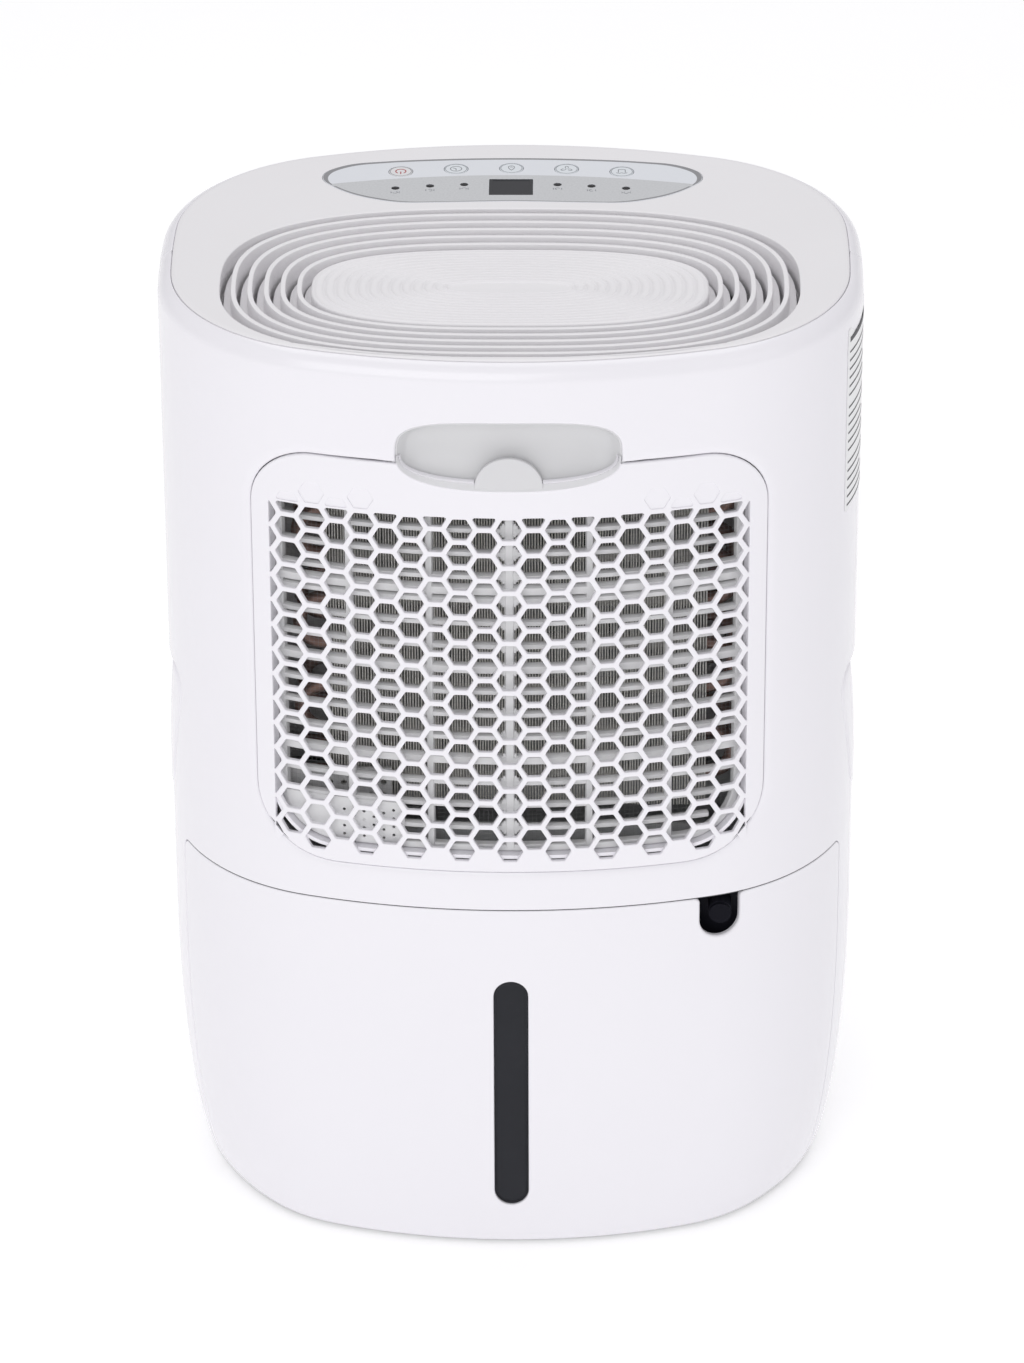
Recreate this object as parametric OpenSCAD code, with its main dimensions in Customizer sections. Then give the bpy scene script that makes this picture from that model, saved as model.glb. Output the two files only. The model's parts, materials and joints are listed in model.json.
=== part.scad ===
// Compressor dehumidifier. The air intake door and the water tank are on the -Y side,
// the control panel is read from the +Y side. Z is up and the floor is Z = 0.
// The origin is under the middle of the body.

/* [Body] */
// Width across the flanks
body_w = 340; // [336:1:344]
// Depth from the intake side to the user side
body_d = 258; // [256:1:262]
// Height to the top plate
body_h = 490; // [488:1:494]
// Thickness of the casing walls
wall = 2.6; // [2.2:0.1:3]
// Radius of the long curve of the intake and user sides
front_r = 348; // [340:1:360]
// Radius of the curve of the flanks
flank_r = 667; // [640:1:700]
// Radius of the four upright corners
corner_r = 97; // [94:1:100]
// How far the flanks draw in at the floor
taper_in = 19.5; // [15:0.5:22]
// Height up to which the flanks draw in
taper_h = 147; // [130:1:160]
// Radius of the rounded bottom edge
base_r = 12; // [8:1:14]
// Radius of the rounded top rim
rim_r = 10; // [10:0.5:11]

/* [Water tank] */
// Height of the seam over the tank front
tank_top = 194.5; // [192:0.5:196]
// Depth at which the tank front ends on the flanks
tank_edge_y = -57; // [-58:0.5:-56]
// Height of the bucket's rim
bucket_top = 160; // [150:1:161]
// Back wall of the bucket
bucket_back_y = -38; // [-40:0.5:-37]
// Width of the water window
window_w = 17; // [14:0.5:20]
// Lower end of the water window
window_low = 24; // [22:1:30]
// Upper end of the water window
window_high = 155; // [145:1:157]
// Middle of the drain notch
notch_x = 102.5; // [102:0.5:103]
// Width of the drain notch
notch_w = 19.5; // [19:0.5:20]
// Lowest point of the drain notch
notch_low = 171.6; // [171:0.1:172]
// Rise of the float when the tank is full
float_travel = 96; // [60:1:100]

/* [Intake door] */
// Half the width of the door
door_half = 123.2; // [122:0.1:124]
// Lower edge of the door
door_low = 216.2; // [215:0.1:217]
// Upper edge of the door
door_high = 437.5; // [436:0.5:438]
// Distance between rows of hexagons
hex_pitch = 13.525; // [13.4:0.005:13.6]
// Width of a hexagon across its flats
hex_flat = 10.5; // [9:0.1:11]
// Height of the top row of the middle column
hex_top_z = 403.6; // [403:0.1:404]
// Half the width of the finger pull
pull_half = 53.5; // [50:0.5:54]
// Height of the widest line of the finger pull
pull_z = 441; // [440:0.5:442]

/* [Top] */
// Middle of the air outlet
slot_y = -36.1; // [-37:0.1:-35]
// Half the width of the air outlet
slot_half_x = 138.6; // [137:0.1:139]
// Half the depth of the air outlet
slot_half_y = 81.9; // [81:0.1:82]
// Half the width of the middle disc
disc_half_x = 94; // [92:0.5:96]
// Half the depth of the middle disc
disc_half_y = 40.75; // [40:0.25:42]
// Number of outlet rings
ring_count = 5; // [3:1:5]
// Thickness of an outlet ring
ring_w = 2.4; // [2:0.1:3]
// Diameter of a control key
key_d = 11.6; // [10:0.1:12]
// Travel of a control key
key_travel = 0.5; // [0.2:0.1:0.6]

/* [Air and cooling] */
// Half the width of the cooling coils' fin packs
fin_half = 96; // [90:1:98]
// Bottom of the fin packs
coil_low = 234; // [233:1:236]
// Rows of tube in each coil
tube_rows = 8; // [6:1:8]
// Distance between rows of tube
tube_pitch = 24; // [20:0.5:24]
// Height of the fan axis
fan_z = 320; // [315:1:325]
// Radius of the blower wheel
wheel_r = 74; // [70:1:75]
// Number of blades
blade_count = 32; // [16:1:40]
// Radius of the compressor can
compressor_r = 52; // [46:1:53]
// Height of the top of the compressor can
compressor_top = 186; // [160:1:190]

/* [Hidden] */
$fn = 48;

half_w = body_w / 2;
half_d = body_d / 2;
base_z = 3;
gap = 0.4;
white = "#f1eff4";
soft_white = "#dedde1";
grey = "#c9ccd0";
dark = "#2b2d35";
copper = "#b87046";
metal = "#a8abb0";

// Points on plan arcs and curves
function reverse(list) = [for (i = [len(list) - 1 : -1 : 0]) list[i]];
function tail(list) = [for (i = [1 : len(list) - 1]) list[i]];
function unit(v) = v / norm(v);
function arc(centre, r, a0, a1, n) =
  [for (i = [0 : n]) let (a = a0 + (a1 - a0) * i / n) centre + r * [cos(a), sin(a)]];
function mirror_x(list) = [for (p = reverse(list)) [-p.x, p.y]];
function signed_power(v, e) = sign(v) * pow(abs(v), e);
function oval(hx, hy_low, hy_high, e_low, e_high, n) =
  [for (i = [0 : n - 1]) let (a = 360 * i / n, e = sin(a) < 0 ? e_low : e_high)
    [hx * signed_power(cos(a), 2 / e), (sin(a) < 0 ? hy_low : hy_high) * signed_power(sin(a), 2 / e)]];
// A corner rounded with radius r, in two or three dimensions
function fillet(p0, p1, p2, r, n) =
  let (u = unit(p0 - p1), v = unit(p2 - p1), half = acos(u * v) / 2,
    centre = p1 + unit(u + v) * r / sin(half),
    s = unit(p1 + u * r / tan(half) - centre), e = unit(p1 + v * r / tan(half) - centre),
    sweep = acos(s * e))
  [for (i = [0 : n]) centre + r * (sin(sweep * (1 - i / n)) * s + sin(sweep * i / n) * e) / sin(sweep)];
function rounded(points, radii, n = 6) =
  [for (i = [0 : len(points) - 1]) let (m = len(points), p = points[i])
    each radii[i] == 0 ? [p] : fillet(points[(i + m - 1) % m], p, points[(i + 1) % m], radii[i], n)];
function bent(points, r, n = 4) =
  [for (i = [0 : len(points) - 1]) each i == 0 || i == len(points) - 1
    ? [points[i]] : fillet(points[i - 1], points[i], points[i + 1], r, n)];

// Plan of the body: four corner arcs joined by long arcs
front_c = [0, front_r - half_d];
flank_c = [half_w - flank_r, 0];
plan_dir = unit(front_c - flank_c);
plan_along = (pow(flank_r - corner_r, 2) - pow(front_r - corner_r, 2)
  + pow(norm(front_c - flank_c), 2)) / (2 * norm(front_c - flank_c));
plan_across = sqrt(pow(flank_r - corner_r, 2) - pow(plan_along, 2));
corner_c = flank_c + plan_along * plan_dir + plan_across * [plan_dir.y, -plan_dir.x];
front_end = atan2(corner_c.y - front_c.y, corner_c.x - front_c.x);
flank_end = atan2(corner_c.y - flank_c.y, corner_c.x - flank_c.x);
function front_to(inset, angle, n) = concat(
  arc(front_c, front_r - inset, -90, front_end, 4),
  tail(arc(corner_c, corner_r - inset, front_end, angle, n)));
function quarter(inset) =
  concat(front_to(inset, flank_end, 10), tail(arc(flank_c, flank_r - inset, flank_end, 0, 2)));
function intake_half(inset) = concat(mirror_x(quarter(inset)), tail(quarter(inset)));
function user_half(inset) = [for (p = intake_half(inset)) -p];
function outline(inset) = concat(tail(intake_half(inset)), tail(user_half(inset)));
// The part of the plan in front of a given depth
function front_path(inset, y_cut) =
  let (right = front_to(inset, asin((y_cut - corner_c.y) / (corner_r - inset)), 8))
  concat(mirror_x(right), tail(right));

// Inset of the flanks and of the rounded bottom edge at height z
function ease(z, top) = z >= top ? 0 : 1 - sqrt(1 - pow((top - z) / top, 2));
function taper_x(z) = 1 - (taper_in * ease(z, taper_h) + base_r * ease(z, base_r)) / half_w;
function taper_y(z) = 1 - base_r * ease(z, base_r) / half_d;
function section(points, z) = [for (p = points) [p.x * taper_x(z), p.y * taper_y(z), z]];
lower_z = [base_z, 5, 8, 12, 22, 38, 60, 90, 120, taper_h];

// Closed solid through a stack of rings; ring points i and n - 1 - i face each other
module ring_stack(rings) {
  n = len(rings[0]);
  last = (len(rings) - 1) * n;
  sides = [for (j = [0 : len(rings) - 2], i = [0 : n - 1]) let (k = (i + 1) % n)
    [j * n + i, (j + 1) * n + i, (j + 1) * n + k, j * n + k]];
  low = [for (i = [0 : ceil(n / 2) - 2])
    i + 1 == n - 2 - i ? [i, i + 1, n - 1 - i] : [i, i + 1, n - 2 - i, n - 1 - i]];
  high = [for (face = low) [for (i = reverse(face)) i + last]];
  polyhedron([for (ring = rings) each ring], concat(sides, low, high));
}

// Round tube along a path, with a fixed side direction
module tube(path, r, sides = 8) {
  n = len(path);
  across = [0.31, 0.52, 0.79];
  rings = [for (i = [0 : n - 1])
    let (t = unit(path[min(i + 1, n - 1)] - path[max(i - 1, 0)]),
      u = unit(cross(t, across)), v = cross(t, u))
    [for (k = [0 : sides - 1]) let (a = 360 * k / sides) path[i] + r * (cos(a) * u + sin(a) * v)]];
  ring_stack(rings);
}

// Extrudes a shape drawn in X and Z through the depths y0 to y1
module upright(y0, y1) {
  translate([0, y1, 0]) rotate([90, 0, 0]) linear_extrude(y1 - y0) children();
}

// Curved plate that follows the intake side between two insets
module front_band(inset_0, inset_1, z0, z1, y_cut = -62) {
  translate([0, 0, z0]) linear_extrude(z1 - z0)
    polygon(concat(front_path(inset_0, y_cut), reverse(front_path(inset_1, y_cut))));
}

module block(low, high) {
  translate(low) cube(high - low);
}

// Round bar along Y from y0 to y1
module bar_y(x, z, y0, y1, r) {
  translate([x, y1, z]) rotate([90, 0, 0]) cylinder(h = y1 - y0, r = r);
}

/* Casings */
rim_rings = [
  [body_h - rim_r - 4, 0, wall], [body_h - rim_r, 0, 6],
  for (a = [25, 39]) [body_h - rim_r * (1 - sin(a)), rim_r * (1 - cos(a)), 8.3],
  for (a = [40, 51, 62]) [body_h - rim_r * (1 - sin(a)), rim_r * (1 - cos(a)), 6.45]
];
casing_rings = concat([for (z = lower_z) [z, 0, wall]], rim_rings);
skirt_top = tank_top + gap;

module half_shell() {
  ring_stack([for (r = casing_rings)
    section(concat(user_half(r[1]), reverse(user_half(r[2]))), r[0])]);
}

grip_y_high = 63;
grip_y_low = 36;
grip_z_low = 212;
grip_z_high = 288;
module grip_outline(grow) {
  polygon(rounded([[-grip_y_low - grow, grip_z_low - grow], [grip_y_low + grow, grip_z_low - grow],
    [grip_y_high + grow, grip_z_high + grow], [-grip_y_high - grow, grip_z_high + grow]],
    [14, 14, 12, 12]));
}
module grip_prism(grow, depth) {
  for (side = [0, 1]) mirror([side, 0, 0])
    translate([half_w - depth, 0, 0]) rotate([90, 0, 90]) linear_extrude(depth + 5) grip_outline(grow);
}

function door_corners(grow) = [
  [-door_half - grow, door_low - grow], [door_half + grow, door_low - grow],
  [door_half + grow, door_high + grow], [-door_half - grow, door_high + grow]];
module door_outline(grow) {
  polygon(rounded(door_corners(grow), [38 + grow, 38 + grow, 30 + grow, 30 + grow]));
}
pull_down = 16.8;
pull_up = 19;
lip_h = 3.8;
module pull_outline(grow) {
  translate([0, pull_z])
    polygon(oval(pull_half + grow, pull_down + grow, pull_up + grow, 2.6, 3.5, 40));
}
module lip_outline(grow) {
  translate([0, pull_z])
    polygon(oval(pull_half - 2 + grow, pull_down - lip_h + grow, pull_up + 10, 2.6, 3.5, 40));
}

screw_x = 152;
skirt_screws = [110];
upper_screws = [330, 452];
module screw_bosses(y0, y1, heights) {
  for (side = [-1, 1], z = heights)
    difference() {
      union() {
        bar_y(side * screw_x, z, y0, y1, 5);
        block([min(side * screw_x, side * half_w), y0, z - 1.5],
          [max(side * screw_x, side * half_w), y1, z + 1.5]);
      }
      bar_y(side * screw_x, z, y0 - 1, y1 + 1, 1.6);
    }
}
module inside_walls() {
  ring_stack([for (r = casing_rings) if (r[0] < body_h - rim_r) section(outline_pairs(wall - 0.3), r[0])]);
}
// The whole plan with its points in facing pairs, left to right
function outline_pairs(inset) = concat(
  [for (i = [floor(len(user_half(inset)) / 2) : len(user_half(inset)) - 1]) user_half(inset)[i]],
  tail(intake_half(inset)),
  [for (i = [1 : floor(len(user_half(inset)) / 2)]) user_half(inset)[i]]);

module intake_casing() {
  color(white) {
    difference() {
      rotate([0, 0, 180]) half_shell();
      block([-half_w, -half_d - 1, -1], [half_w, 1, skirt_top]);
      upright(-half_d - 1, -90) door_outline(gap);
      upright(-half_d - 1, -90) pull_outline(0);
      grip_prism(0, 30);
    }
    difference() {
      intersection() {
        front_band(wall - 0.2, wall + 2, door_low - 6, door_high + 6);
        upright(-half_d - 1, -80) difference() {
          door_outline(4);
          door_outline(-4);
        }
      }
      upright(-half_d - 1, -80) pull_outline(3);
      for (side = [-1, 1])
        block([side * 80 - 12, -half_d, door_low - 7], [side * 80 + 12, -90, door_low + 5]);
    }
    intersection() {
      screw_bosses(-12, 0, upper_screws);
      inside_walls();
    }
  }
}

// Lower flanks beside the tank, clipped under the intake casing
module side_skirts() {
  color(white) {
    difference() {
      rotate([0, 0, 180]) half_shell();
      block([-half_w, -half_d - 1, -1], [half_w, tank_edge_y + gap / 2, body_h]);
      block([-half_w, -half_d - 1, skirt_top - 0.05], [half_w, 1, body_h + 1]);
    }
    intersection() {
      screw_bosses(-12, 0, skirt_screws);
      inside_walls();
    }
  }
}

module user_casing() {
  color(white) {
    difference() {
      half_shell();
      grip_prism(0, 30);
      at_inlet() translate([0, 0, -12]) cylinder(h = 24, r = cord_hole_r);
    }
    intersection() {
      screw_bosses(0, 14, concat(skirt_screws, upper_screws));
      inside_walls();
    }
  }
}

module casing_screws() {
  color(metal) for (side = [-1, 1], z = concat(skirt_screws, upper_screws)) {
    bar_y(side * screw_x, z, -12, 10, 1.5);
    difference() {
      bar_y(side * screw_x, z, -14.5, -12, 3);
      block([side * screw_x - 0.5, -15, z - 2.2], [side * screw_x + 0.5, -13.5, z + 2.2]);
      block([side * screw_x - 2.2, -15, z - 0.5], [side * screw_x + 2.2, -13.5, z + 0.5]);
    }
  }
}

module side_grips() {
  depth = 20;
  color(soft_white) difference() {
    intersection() {
      union() for (side = [0, 1]) mirror([side, 0, 0])
        translate([half_w - depth - 2, 0, 0]) rotate([90, 0, 90]) linear_extrude(depth + 2) grip_outline(2);
      linear_extrude(body_h) polygon(outline(wall + 0.2));
    }
    for (side = [0, 1]) mirror([side, 0, 0])
      translate([half_w - depth, 0, 0]) rotate([90, 0, 90]) linear_extrude(depth + 2) grip_outline(0);
  }
}

module pull_recess() {
  back_y = -108;
  color(grey) difference() {
    intersection() {
      upright(-half_d, back_y) pull_outline(2);
      linear_extrude(body_h) polygon(outline(wall + 0.2));
    }
    upright(-half_d - 1, back_y - 2) pull_outline(0);
  }
}

module rating_label() {
  color("#f7f7f7") intersection() {
    difference() {
      linear_extrude(body_h) polygon(outline(-0.3));
      linear_extrude(body_h) polygon(outline(0));
    }
    block([half_w - 30, -61, 378], [half_w + 5, -19, 476]);
  }
}

/* Intake door */
col_pitch = hex_pitch * sqrt(3) / 2;
pivot_y = -half_d;
module hexagons() {
  intersection() {
    for (c = [-10 : 10]) {
      odd = abs(c) % 2;
      for (row = [odd == 1 ? -1 : 0 : odd == 1 ? 12 : 13])
        translate([c * col_pitch, hex_top_z - (row + odd / 2) * hex_pitch])
          circle(d = hex_flat / cos(30), $fn = 6);
    }
    translate([-114.5, hex_top_z - 190]) square([229, 196.4]);
  }
}

// Outline that the filter shares with the flange behind the door, cut off below the finger pull
flange_in = 6.6;
module filter_outline(inset) {
  intersection() {
    door_outline(-inset);
    translate([-half_w, 0]) square([body_w, 428.4 - inset]);
  }
}

module filter_door() {
  color(white) {
    intersection() {
      front_band(0, 2, door_low - 1, door_high + 1);
      upright(-half_d - 1, -80) difference() {
        door_outline(0);
        hexagons();
        lip_outline(0);
      }
    }
    intersection() {
      front_band(1.8, 8.8, door_low, door_high);
      upright(-half_d, -80) difference() {
        filter_outline(flange_in);
        filter_outline(flange_in + 2);
      }
    }
    // Proud lower lip of the finger pull
    intersection() {
      front_band(-2.2, 0.4, door_low, door_high);
      upright(-half_d - 4, -80) difference() {
        pull_outline(0);
        lip_outline(0);
      }
    }
    // Half-round thumb tab behind the lip
    intersection() {
      front_band(1.8, 3.8, door_low, door_high);
      upright(-half_d, -80) intersection() {
        translate([0, 426]) circle(r = 15.5);
        translate([-20, 425.6]) square([40, 30]);
      }
    }
    // Bottom hooks, which hang behind the casing
    for (side = [-1, 1]) intersection() {
      union() {
        front_band(wall + 0.5, wall + 2.3, door_low - 3, door_low + 4);
        front_band(1.8, wall + 2.3, door_low + 1, door_low + 4);
      }
      block([side * 80 - 8, -half_d, door_low - 5], [side * 80 + 8, -90, door_low + 5]);
    }
  }
}

module filter_windows(bar_x, bar_z) {
  for (c = [-3 : 2], r = [0 : 14])
    translate([c * 39 + bar_x / 2 + (c == -3 ? 8 : 0), 226 + r * 12.5])
      square([39 - bar_x - (c == -3 || c == 2 ? 8 : 0), 12.5 - bar_z]);
}
module filter_frame() {
  color(soft_white) intersection() {
    front_band(5.8, 9.2, 221, 421);
    upright(-half_d, -80) difference() {
      filter_outline(flange_in + 2.2);
      intersection() {
        filter_windows(3.3, 2.6);
        filter_outline(flange_in + 6);
      }
    }
  }
}
module filter_mesh() {
  color(grey) intersection() {
    front_band(9.3, 9.8, 221, 421);
    upright(-half_d, -80) filter_outline(flange_in + 3);
  }
}

/* Top */
slot_n = 2.7;
module slot_plan(hx, hy) {
  translate([0, slot_y]) polygon(oval(hx, hy, hy, slot_n, slot_n, 64));
}
panel_top_y = 105.4;
panel_low_y = 54.6;
panel_side = [[56, 52.3], [80.5, 62], [98.3, 84], [82, 98.4]];
panel_side_r = [45, 50, 12, 32];
panel_bow = 1000;
function panel_points(grow) =
  let (
    side = [for (p = panel_side) [p.x + grow, p.y + (p.y > 75 ? grow : -grow)]],
    other = [for (p = reverse(side)) [-p.x, p.y]],
    top = [for (x = [58 : -29 : -58]) [x, panel_top_y + grow - x * x / panel_bow]])
  rounded(concat([[0, panel_low_y - grow]], side, top, other),
    concat([120], panel_side_r, [for (p = top) 0], reverse(panel_side_r)), 5);
module panel_plan(grow) {
  polygon(panel_points(grow));
}
key_x = [-55.3, -28, -0.6, 26.7, 54];
key_y = [89.3, 92.4, 93.3, 92.4, 89.3];
led_x = [-57.5, -40.5, -23.7, 22.3, 39, 56];
led_y = [69.8, 72.4, 74.1, 74.1, 72.4, 69.8];
display_low = [-11.4, 61.8];
display_size = [21.6, 18.7];
display_floor = 2;
overlay_t = 1;

module key_holes(r) {
  for (i = [0 : 4]) translate([key_x[i], key_y[i]]) circle(r = r);
}
module led_holes(r) {
  for (i = [0 : 5]) translate([led_x[i], led_y[i]]) circle(r = r);
}

module top_plate() {
  t = 3.2;
  color(soft_white) difference() {
    ring_stack([for (r = [[body_h - t, 6.8], [body_h - 0.9, 6.8], [body_h - 0.3, 7.9], [body_h, 10]])
      section(outline_pairs(r[1]), r[0])]);
    translate([0, 0, body_h - 10]) linear_extrude(20) slot_plan(slot_half_x, slot_half_y);
    translate([0, 0, body_h - overlay_t]) linear_extrude(5) panel_plan(0.1);
    translate([0, 0, body_h - 10]) linear_extrude(20) key_holes(key_d / 2 + 0.4);
    translate([0, 0, body_h - 10]) linear_extrude(20) led_holes(1.6);
    translate([display_low.x + 2, display_low.y + 2, body_h - 10])
      cube([display_size.x - 4, display_size.y - 4, 20]);
  }
}

module control_overlay() {
  color(grey) translate([0, 0, body_h - overlay_t]) linear_extrude(overlay_t) difference() {
    panel_plan(0);
    key_holes(key_d / 2 + 0.3);
    led_holes(2.05);
    translate(display_low) square(display_size);
  }
}

module display_window() {
  color(dark) translate([display_low.x + 0.05, display_low.y + 0.05, body_h - overlay_t])
    cube([display_size.x - 0.1, display_size.y - 0.1, overlay_t]);
}

module led_lenses() {
  color(dark) for (i = [0 : 5]) translate([led_x[i], led_y[i], body_h - overlay_t])
    cylinder(h = overlay_t, r = 2);
}

module key(i) {
  cap_t = 2;
  translate([key_x[i], key_y[i], body_h - cap_t]) cylinder(h = cap_t, r = key_d / 2);
  translate([key_x[i], key_y[i], body_h - 6]) cylinder(h = 6 - cap_t, r = 2);
}
module power_key() {
  color("#d8d5d8") key(0);
}
module timer_key() {
  color("#d5dde2") key(1);
}
module humidity_key() {
  color("#d5dde2") key(2);
}
module fan_key() {
  color("#d5dde2") key(3);
}
module laundry_key() {
  color("#d5dde2") key(4);
}

module control_board() {
  color("#2f6b45") block([-78, 56, body_h - 12], [78, 104, body_h - 10.4]);
  color(dark) for (i = [0 : 4])
    block([key_x[i] - 3, key_y[i] - 3, body_h - 10.4], [key_x[i] + 3, key_y[i] + 3, body_h - 7.5]);
  color(dark) block([display_low.x + 3, display_low.y + 3, body_h - 10.4],
    [display_low.x + display_size.x - 3, display_low.y + display_size.y - 3, body_h - 3.6]);
}

module louvre_ring(hx, hy, thickness, z0, z1) {
  translate([0, 0, z0]) linear_extrude(z1 - z0) difference() {
    slot_plan(hx, hy);
    slot_plan(hx - thickness, hy - thickness);
  }
}
module louvre_grille() {
  step_x = (slot_half_x - 5.2 - disc_half_x) / ring_count;
  step_y = (slot_half_y - 4.0 - disc_half_y) / ring_count;
  floor_z = body_h - 15;
  color(soft_white) {
    for (i = [1 : ring_count])
      louvre_ring(disc_half_x + i * step_x, disc_half_y + i * step_y, ring_w, floor_z,
        body_h - 0.5 - 0.44 * (ring_count - i));
    translate([0, 0, body_h - 6]) linear_extrude(3.2) slot_plan(disc_half_x, disc_half_y);
    louvre_ring(disc_half_x, disc_half_y, 2, floor_z, body_h - 5);
    // Outer flange, under the top plate and clear of the casing's rim
    intersection() {
      louvre_ring(slot_half_x + 2, slot_half_y + 2, 3.6, floor_z, body_h - 3.3);
      linear_extrude(body_h) polygon(outline(8.7));
    }
    // Ribs that carry the rings
    for (a = [0 : 45 : 135]) intersection() {
      translate([0, slot_y, floor_z]) rotate([0, 0, a]) translate([-150, -1.2, 0]) cube([300, 2.4, 4]);
      difference() {
        translate([0, 0, floor_z]) linear_extrude(4) slot_plan(slot_half_x + 1, slot_half_y + 1);
        translate([0, 0, floor_z - 1]) linear_extrude(6) slot_plan(disc_half_x - 1, disc_half_y - 1);
      }
    }
  }
}

module outlet_duct() {
  z0 = 466;
  z1 = body_h - 15.3;
  color(grey) {
    difference() {
      translate([0, 0, z0]) linear_extrude(z1 - z0) slot_plan(slot_half_x + 2, slot_half_y + 2);
      translate([0, 0, z0 + 2]) linear_extrude(z1) slot_plan(slot_half_x, slot_half_y);
      block([scroll_out_x0, -scroll_half + 2.5, z0 - 1], [scroll_out_x1, scroll_half - 2.5, z0 + 3]);
    }
  }
}

/* Air side */
scroll_half = 31;
scroll_out_x0 = 12;
scroll_out_x1 = 112;
function volute(grow) = [for (a = [0 : 10 : 360]) let (r = wheel_r + 10 + 28 * (360 - a) / 360 + grow)
  [r * cos(a), fan_z + r * sin(a)]];
module scroll_plan(grow) {
  polygon(volute(grow));
  translate([scroll_out_x0 - grow, fan_z]) square([scroll_out_x1 - scroll_out_x0 + 2 * grow, 146]);
}
module fan_scroll() {
  t = 2.5;
  color("#e4e4e6") difference() {
    upright(-scroll_half, scroll_half) scroll_plan(t);
    upright(-scroll_half + t, scroll_half - t) scroll_plan(0);
    block([scroll_out_x0, -scroll_half + t, 400], [scroll_out_x1, scroll_half - t, 470]);
    bar_y(0, fan_z, -scroll_half - 1, 0, 58);
    bar_y(0, fan_z, 0, scroll_half + 1, 20);
  }
}

shaft_r = 4;
module blower_wheel() {
  color("#3c3f45") difference() {
    union() {
      bar_y(0, fan_z, 21, 23.5, wheel_r);
      bar_y(0, fan_z, -2, 22, 12);
      difference() {
        bar_y(0, fan_z, -26, -23, wheel_r);
        bar_y(0, fan_z, -27, -22, wheel_r - 11);
      }
      for (i = [0 : blade_count - 1]) translate([0, 0, fan_z]) rotate([0, i * 360 / blade_count, 0])
        translate([wheel_r - 10.5, -24, 0]) rotate([0, 24, 0]) translate([0, 0, -0.7]) cube([10.5, 46, 1.4]);
    }
    bar_y(0, fan_z, -5, 30, shaft_r);
  }
}
module motor_shaft() {
  color(metal) bar_y(0, fan_z, -6, 90, shaft_r);
}
module fan_motor() {
  color(metal) difference() {
    union() {
      bar_y(0, fan_z, 37, 82, 42);
      bar_y(0, fan_z, 35, 86, 16);
      bar_y(0, fan_z, 56, 62, 46);
    }
    bar_y(0, fan_z, 30, 92, shaft_r + 0.05);
  }
}
module motor_bracket() {
  color(metal) difference() {
    union() {
      for (a = [30, 150, 270]) translate([0, 0, fan_z]) rotate([0, a, 0])
        block([44, 62, -9], [70, 64, 9]);
      for (a = [30, 150, 270]) translate([0, 0, fan_z]) rotate([0, a, 0])
        block([68, scroll_half + 0.1, -9], [70, 64, 9]);
      bar_y(0, fan_z, 62, 64, 50);
    }
    bar_y(0, fan_z, 60, 66, 42.2);
  }
}

fin_t = 25;
evap_y = -93;
cond_y = -64;
fin_high = coil_low + tube_rows * tube_pitch;
tube_r = 3.5;
module fin_pack(y0) {
  difference() {
    block([-fin_half + 8, y0, coil_low], [fin_half - 1, y0 + fin_t, fin_high]);
    for (i = [0 : tube_rows - 1]) translate([-fin_half, y0 + fin_t / 2, coil_low + (i + 0.5) * tube_pitch])
      rotate([0, 90, 0]) cylinder(h = 2 * fin_half + 10, r = tube_r + 0.1);
  }
}
// Serpentine of one coil: the rows, the bends between them and the two ends
function serpentine(y0, x_end) = let (y = y0 + fin_t / 2, left = -fin_half - 6, right = fin_half + 12)
  bent(concat([[x_end, y, coil_low + tube_pitch / 2]],
    [for (i = [0 : tube_rows - 2]) let (x = i % 2 == 0 ? right : left, z = coil_low + (i + 0.5) * tube_pitch)
      each [[x, y, z], [x, y, z + tube_pitch]]],
    [[x_end, y, fin_high - tube_pitch / 2]]), tube_pitch / 2 - 0.4, 5);
module evaporator_fins() {
  color("#4a4a48") fin_pack(evap_y);
}
module condenser_fins() {
  color(metal) fin_pack(cond_y);
}
module evaporator_tubes() {
  color(copper) tube(serpentine(evap_y, -fin_half - 12), tube_r);
}
module condenser_tubes() {
  color(copper) tube(serpentine(cond_y, -fin_half - 12), tube_r);
}

shroud_x = 125;
shroud_y0 = -96.2;
shroud_y1 = -33;
shroud_top = 441;
module coil_shroud() {
  t = 2.5;
  color(white) {
    difference() {
      block([-shroud_x, shroud_y0, coil_low - 6], [shroud_x, shroud_y1, shroud_top]);
      block([-shroud_x + t, shroud_y0 - 1, coil_low - 7], [shroud_x - t, shroud_y1 - t, shroud_top - t]);
      bar_y(0, fan_z, shroud_y1 - 5, shroud_y1 + 1, 62);
      block([-84, shroud_y0 - 1, shroud_top - 20], [84, shroud_y0 + 20, shroud_top + 1]);
      for (y0 = [evap_y, cond_y], z = [coil_low, fin_high - tube_pitch])
        translate([-shroud_x - 1, y0 + fin_t / 2, z + tube_pitch / 2])
          rotate([0, 90, 0]) cylinder(h = t + 2, r = 6);
    }
    // Perforated corner plate in front of the lower left of the coil
    difference() {
      block([-shroud_x + 1, shroud_y0, coil_low - 5], [-58, shroud_y0 + 1.6, coil_low + 22]);
      for (i = [0 : 4], j = [0 : 2])
        bar_y(-88 + i * 6.5, coil_low + j * 7, shroud_y0 - 1, shroud_y0 + 3, 1.5);
    }
  }
}

tray_z = 203;
module drip_tray() {
  color(grey) difference() {
    union() {
      block([-121, -97, tray_z], [121, -34, tray_z + 22]);
      translate([drip_x, drip_y, 192]) cylinder(h = 14, r = 7);
    }
    block([-118.5, -94.5, tray_z + 2.5], [118.5, -36.5, tray_z + 23]);
    translate([drip_x, drip_y, 190]) cylinder(h = 20, r = 5);
  }
}

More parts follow.
